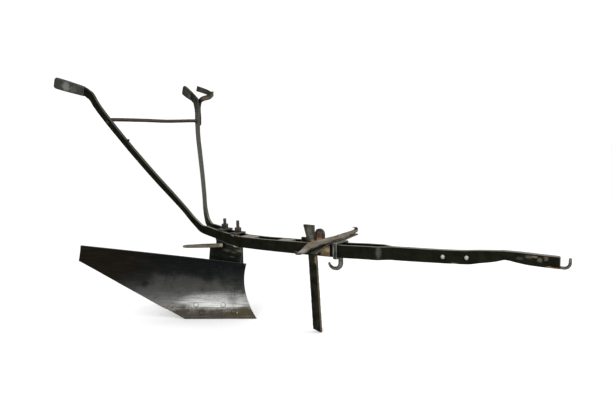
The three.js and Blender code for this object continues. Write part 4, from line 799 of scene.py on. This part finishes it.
def plate(name, low_edge, high_edge, material, across, up, ground=0.0):
    """A hollow plate between two edges, each a line of (along the share, height) points. Ground
    says how much of its thickness is taken off behind its lowest 18 mm."""
    def read(edge, u):
        edge = np.array(edge, float)
        way = np.concatenate([[0], np.cumsum(np.linalg.norm(np.diff(edge, axis=0), axis=1))])
        return np.stack([np.interp(u * way[-1], way, edge[:, k]) for k in (0, 1)], axis=-1)
    u = np.linspace(0, 1, across + 1)
    for edge in (low_edge, high_edge):
        way = np.cumsum(np.linalg.norm(np.diff(np.array(edge, float), axis=0), axis=1))
        u = np.union1d(u, np.round(way / way[-1], 6))
    across, v = len(u) - 1, np.linspace(0, 1, up + 1)[:, None, None]
    flat = read(low_edge, u)[None] * (1 - v) + read(high_edge, u)[None] * v
    sides = []
    for depth in (0, PLATE):
        along, z = flat[..., 0].copy(), flat[..., 1]
        front = hollow(z, depth)[:, :1] / math.tan(SHARE_SLOPE)
        along += (front - along[:, :1]) * (1 - u[None]) ** 3
        sides.append(plate_point(along, z, depth))
    front_face, back_face = sides
    thin = 1 - ground * np.clip(1 - front_face[..., 2] / 18, 0, 1)[..., None]
    back_face = front_face + (back_face - front_face) * thin
    out = front_face - back_face
    out /= np.linalg.norm(out, axis=-1)[..., None]
    flat_points = front_face.reshape(-1, 3)
    beaten = 0.5 * lumps(flat_points, 60, 5) + 0.14 * lumps(flat_points, 14, 6) - 0.3
    front_face = front_face + out * beaten.reshape(front_face.shape[:2])[..., None]
    row, count = across + 1, (across + 1) * (up + 1)
    faces = []
    for a in (j * row + i for j in range(up) for i in range(across)):
        faces.append((a, a + 1, a + 1 + row, a + row))
        faces.append(tuple(count + b for b in (a, a + row, a + row + 1, a + 1)))
    rim = ([(i, i + 1) for i in range(across)] + [(up * row + i + 1, up * row + i) for i in range(across)]
           + [((j + 1) * row, j * row) for j in range(up)]
           + [(j * row + across, (j + 1) * row + across) for j in range(up)])
    faces += [(b, a, count + a, count + b) for a, b in rim]
    piece = mesh_piece(name, np.vstack([front_face.reshape(-1, 3), back_face.reshape(-1, 3)]),
                       faces, material)
    shell = bmesh.new()
    shell.from_mesh(piece.data)
    for at_seam, offset in ((True, 0.0003), (False, 0.001)):
        corners = [e for e in shell.edges
                   if len(e.link_faces) == 2 and e.calc_face_angle(0) > math.radians(50)
                   and all(abs(v.co.z * 1000 - SEAM) < 2 for v in e.verts) == at_seam]
        bmesh.ops.bevel(shell, geom=corners, offset=offset, segments=2, affect="EDGES", clamp_overlap=True)
    shell.to_mesh(piece.data)
    shell.free()
    piece.data.shade_smooth()
    return piece


def share_steel():
    """Rolled steel, scoured low down: long scratches over a blue-black skin, a bright band above the seam
    that is partly polish and partly painted highlight, a painted grey sheen higher up, brown towards the
    point and the tail, and a painted dark reflection towards the top."""
    material = bpy.data.materials.new("soil_scoured_steel")
    material.use_nodes = True
    tree = material.node_tree
    shader = tree.nodes["Principled BSDF"]
    where = add(tree, "TexCoord").outputs["Object"]
    geometry = add(tree, "NewGeometry")
    # Scratches run along the share: noise drawn out to 90 mm long and 2.5 mm high.
    level = add(tree, "VectorRotate", {"Vector": where, "Angle": -SHARE_SLOPE}, rotation_type="Z_AXIS")
    drawn = add(tree, "VectorMath", {0: level, 1: (1000 / 90, 1000 / 90, 1000 / 2.5)}, operation="MULTIPLY")
    scratch = add(tree, "TexNoise", {"Vector": drawn, "Scale": 1, "Detail": 4, "Roughness": 0.6})
    # The skin is uneven in blotches of 55 mm and of 7 mm.
    blotch = add(tree, "TexNoise", {"Vector": where, "Scale": 1000 / 55, "Detail": 5, "Roughness": 0.6})
    fine = add(tree, "TexNoise", {"Vector": where, "Scale": 1000 / 7, "Detail": 5, "Roughness": 0.65})
    height = add(tree, "SeparateXYZ", {0: where}).outputs["Z"]
    sway = add(tree, "MapRange", {"Value": blotch, "From Min": 0.2, "From Max": 0.8, "To Min": -0.025,
                                  "To Max": 0.025}, **SMOOTH)
    wobble = add(tree, "Math", {0: height, 1: sway}, operation="ADD")
    # Colour by height: brown soil at the foot, lightest at 5 to 9 cm, partly polish and partly painted
    # highlight, then near black towards the top, partly a painted reflection of the dark ground.
    # Columns: height in metres, colour.
    bands = ((0.0, "#2d2821"), (0.03, "#35312b"), (0.055, "#484744"), (0.09, "#484846"), (0.13, "#333432"),
             (0.17, "#1f2120"), (0.22, "#131616"), (0.34, "#10120e"))
    top = bands[-1][0]
    risen = add(tree, "Math", {0: wobble, 1: 1 / top}, operation="MULTIPLY")
    colour = add(tree, "ValToRGB", {"Fac": risen}, [(h / top, linear(code)) for h, code in bands]).outputs[0]
    # The middle row, a grey patch on the hollow, is a painted sheen.
    # Columns: middle (along, height), reach, colour, strength.
    for middle, reach, code, strength in (
        ((700, 270), (330, 330, 160), "#191510", 0.9), ((340, 120), (230, 230, 80), "#3f3f3e", 0.6),
        ((50, 20), (150, 150, 34), "#37301f", 0.8),
    ):
        around = near(tree, where, blotch, plate_point(*middle), reach)
        patch = add(tree, "Math", {0: around, 1: strength}, operation="MULTIPLY")
        colour = add(tree, "Mix", {0: patch, 6: colour, 7: linear(code)}, data_type="RGBA").outputs[2]
    # A pale band above the seam: partly polish, partly a painted highlight.
    polish_and_highlight_area = near(tree, where, scratch, plate_point(170, 74), (210, 210, 40))
    broken = add(tree, "MapRange", {"Value": fine, "From Min": 0.3, "From Max": 0.6, "To Min": 0.55},
                 **SMOOTH)
    polish_and_highlight = add(tree, "Math", {0: polish_and_highlight_area, 1: broken}, operation="MULTIPLY")
    colour = add(tree, "Mix", {0: polish_and_highlight, 6: colour, 7: linear("#7f7f7d")}, data_type="RGBA").outputs[2]
    keen = add(tree, "MapRange", {"Value": scratch, "From Min": 0.5, "From Max": 0.7}, **SMOOTH)
    low_down = add(tree, "MapRange", {"Value": height, "From Min": 0.08, "From Max": 0.2, "To Min": 0.4,
                                      "To Max": 0.08}, **SMOOTH)
    streak = add(tree, "Math", {0: keen, 1: low_down}, operation="MULTIPLY")
    colour = add(tree, "Mix", {0: streak, 6: colour, 7: linear("#5f605f")}, data_type="RGBA").outputs[2]
    stain = add(tree, "MapRange", {"Value": blotch, "From Min": 0.55, "From Max": 0.72, "To Max": 0.4},
                **SMOOTH)
    colour = add(tree, "Mix", {0: stain, 6: colour, 7: linear("#15140e")}, data_type="RGBA").outputs[2]
    corner = add(tree, "MapRange", {"Value": geometry.outputs["Pointiness"], "From Min": 0.53,
                                    "From Max": 0.6, "To Max": 0.8}, **SMOOTH)
    colour = add(tree, "Mix", {0: corner, 6: colour, 7: linear("#8d938c")}, data_type="RGBA").outputs[2]
    # The back is never scoured: a brown-black crust.
    facing = add(tree, "VectorMath", {0: geometry.outputs["Normal"], 1: tuple(-BEHIND)},
                 operation="DOT_PRODUCT").outputs["Value"]
    back = add(tree, "MapRange", {"Value": facing, "From Min": -0.35, "From Max": -0.1, "To Min": 1,
                                  "To Max": 0}, **SMOOTH)
    crust = add(tree, "ValToRGB", {"Fac": fine}, [(0.35, linear("#211c16")), (0.7, linear("#46382b"))])
    colour = add(tree, "Mix", {0: back, 6: colour, 7: crust}, data_type="RGBA").outputs[2]
    lowest = add(tree, "MapRange", {"Value": wobble, "From Min": 0.015, "From Max": 0.05, "To Min": 1,
                                    "To Max": 0}, **SMOOTH)
    caked = add(tree, "MapRange", {"Value": fine, "From Min": 0.3, "From Max": 0.6, "To Min": 0.2,
                                   "To Max": 0.7}, **SMOOTH)
    soil = add(tree, "Math", {0: lowest, 1: caked}, operation="MULTIPLY")
    dull = add(tree, "Math", {0: soil, 1: back}, operation="MAXIMUM")
    tree.links.new(colour, shader.inputs["Base Color"])
    dulled = add(tree, "Math", {0: dull, 1: 0.8}, operation="MULTIPLY")
    metal = add(tree, "Math", {0: 1, 1: dulled}, operation="SUBTRACT")
    tree.links.new(metal.outputs[0], shader.inputs["Metallic"])
    gloss = add(tree, "MapRange", {"Value": fine, "From Min": 0.3, "From Max": 0.7, "To Min": 0.33,
                                   "To Max": 0.48}, **SMOOTH)
    matt = add(tree, "Math", {0: dull, 1: 0.25}, operation="MULTIPLY")
    unpolished = add(tree, "Math", {0: gloss, 1: matt}, operation="ADD")
    polish = add(tree, "Math", {0: polish_and_highlight, 1: 0.08}, operation="MULTIPLY")
    rougher = add(tree, "Math", {0: unpolished, 1: polish}, operation="SUBTRACT")
    tree.links.new(rougher.outputs[0], shader.inputs["Roughness"])
    shader.inputs["Specular Tint"].default_value = (0.5, 0.5, 0.5, 1)
    scratch_height = add(tree, "Math", {0: scratch, 1: 0.6}, operation="MULTIPLY")
    fine_height = add(tree, "Math", {0: fine, 1: 0.5}, operation="MULTIPLY")
    relief = add(tree, "Math", {0: scratch_height, 1: fine_height}, operation="ADD")
    bump = add(tree, "Bump", {"Height": relief, "Distance": 0.0009, "Strength": 0.55})
    tree.links.new(bump.outputs[0], shader.inputs["Normal"])
    return material


SCOURED = share_steel()
seam_above = SEAM + 0.3
diagonal = [(lower_edge(z), z) for z in np.linspace(seam_above, TAIL_LOW[1], 7)]
mouldboard = plate("mouldboard_plate", [(-20, seam_above), *diagonal], [BROW, TAIL_TOP], SCOURED, 190, 62)
share = plate("share_plate", [(0, 0), WING], [(-20, SEAM), (lower_edge(SEAM), SEAM)], SCOURED, 90, 14, 0.85)


# ---- Plough bolts ----
# Countersunk bolts with round heads, worn flush by the soil, hold the plates from the front. Those
# at the wing have a nut behind.
def join(piece, other):
    """Takes another piece's faces into this one."""
    shell = bmesh.new()
    for part in (piece, other):
        shell.from_mesh(part.data)
    shell.to_mesh(piece.data)
    shell.free()
    bpy.data.objects.remove(other)
    piece.data.shade_smooth()
    return piece


HEAD = ((0, 0.1), (2, 0.1), (4, 0.05), (6, 0), (8, 0.05), (9.6, 0.15), (10.5, 0.5), (10.9, 1.3), (11, 2),
        (5.5, 6.2))
# Columns: node, along the share, height, length, how far behind the face a nut starts, how deep the
# head is sunk, how far its sinking flares in front of the face.
BOARD_BOLTS = (
    ("upper_board_bolt", 160, 213, 44, 0, 1.6, 3), ("lower_board_bolt", 109, 121, 44, 0, 0.5, 0.8),
    ("inner_share_bolt", 102, 27, 24, 0, 0.6, 1), ("outer_share_bolt", 242, 24, 30, 14.9, 1.2, 2.6),
    ("inner_strap_bolt", 150, 56, 24, 0, 0.1, 0), ("outer_strap_bolt", 270, 56, 30, 14.9, 0.1, 0),
)
sinkings = {"mouldboard": [], "share": []}
for node, along, z, length, nut_at, sunk, dish in BOARD_BOLTS:
    way = plate_way(z)
    start = plate_point(along, z) + sunk * way
    shank = [(5.5, length * k / 5) for k in (2, 3, 4)] + [(5.5, length - 1), (4.5, length), (0, length)]
    bolt = turned(f"{node}_turned", [*HEAD, *shank], start, way, SCOURED, uneven=0.12, seed=int(along))
    if nut_at:
        nut = ((0, 0), (9.6, 0), (10.8, 0.9), (10.8, 8), (9.6, 8.9), (0, 9))
        bolt = join(bolt, turned("nut", nut, start + (nut_at - sunk) * way, way, SCOURED, sides=6))
    fit(bolt, "worn_iron", node)
    sinking = ((0, -3), (11.2 + dish * 3 / sunk, -3), (11.2, 0), (11.2, 1.6), (5.9, 6.5), (5.9, 40))
    sinkings["share" if z < SEAM else "mouldboard"].append(turned("sinking", sinking, start, way, SCOURED))
for piece, node in ((mouldboard, "mouldboard"), (share, "share")):
    piece = fit(cut_away(piece, *sinkings[node]), "plate_steel", node)
    piece.data.set_sharp_from_angle(angle=math.radians(28))
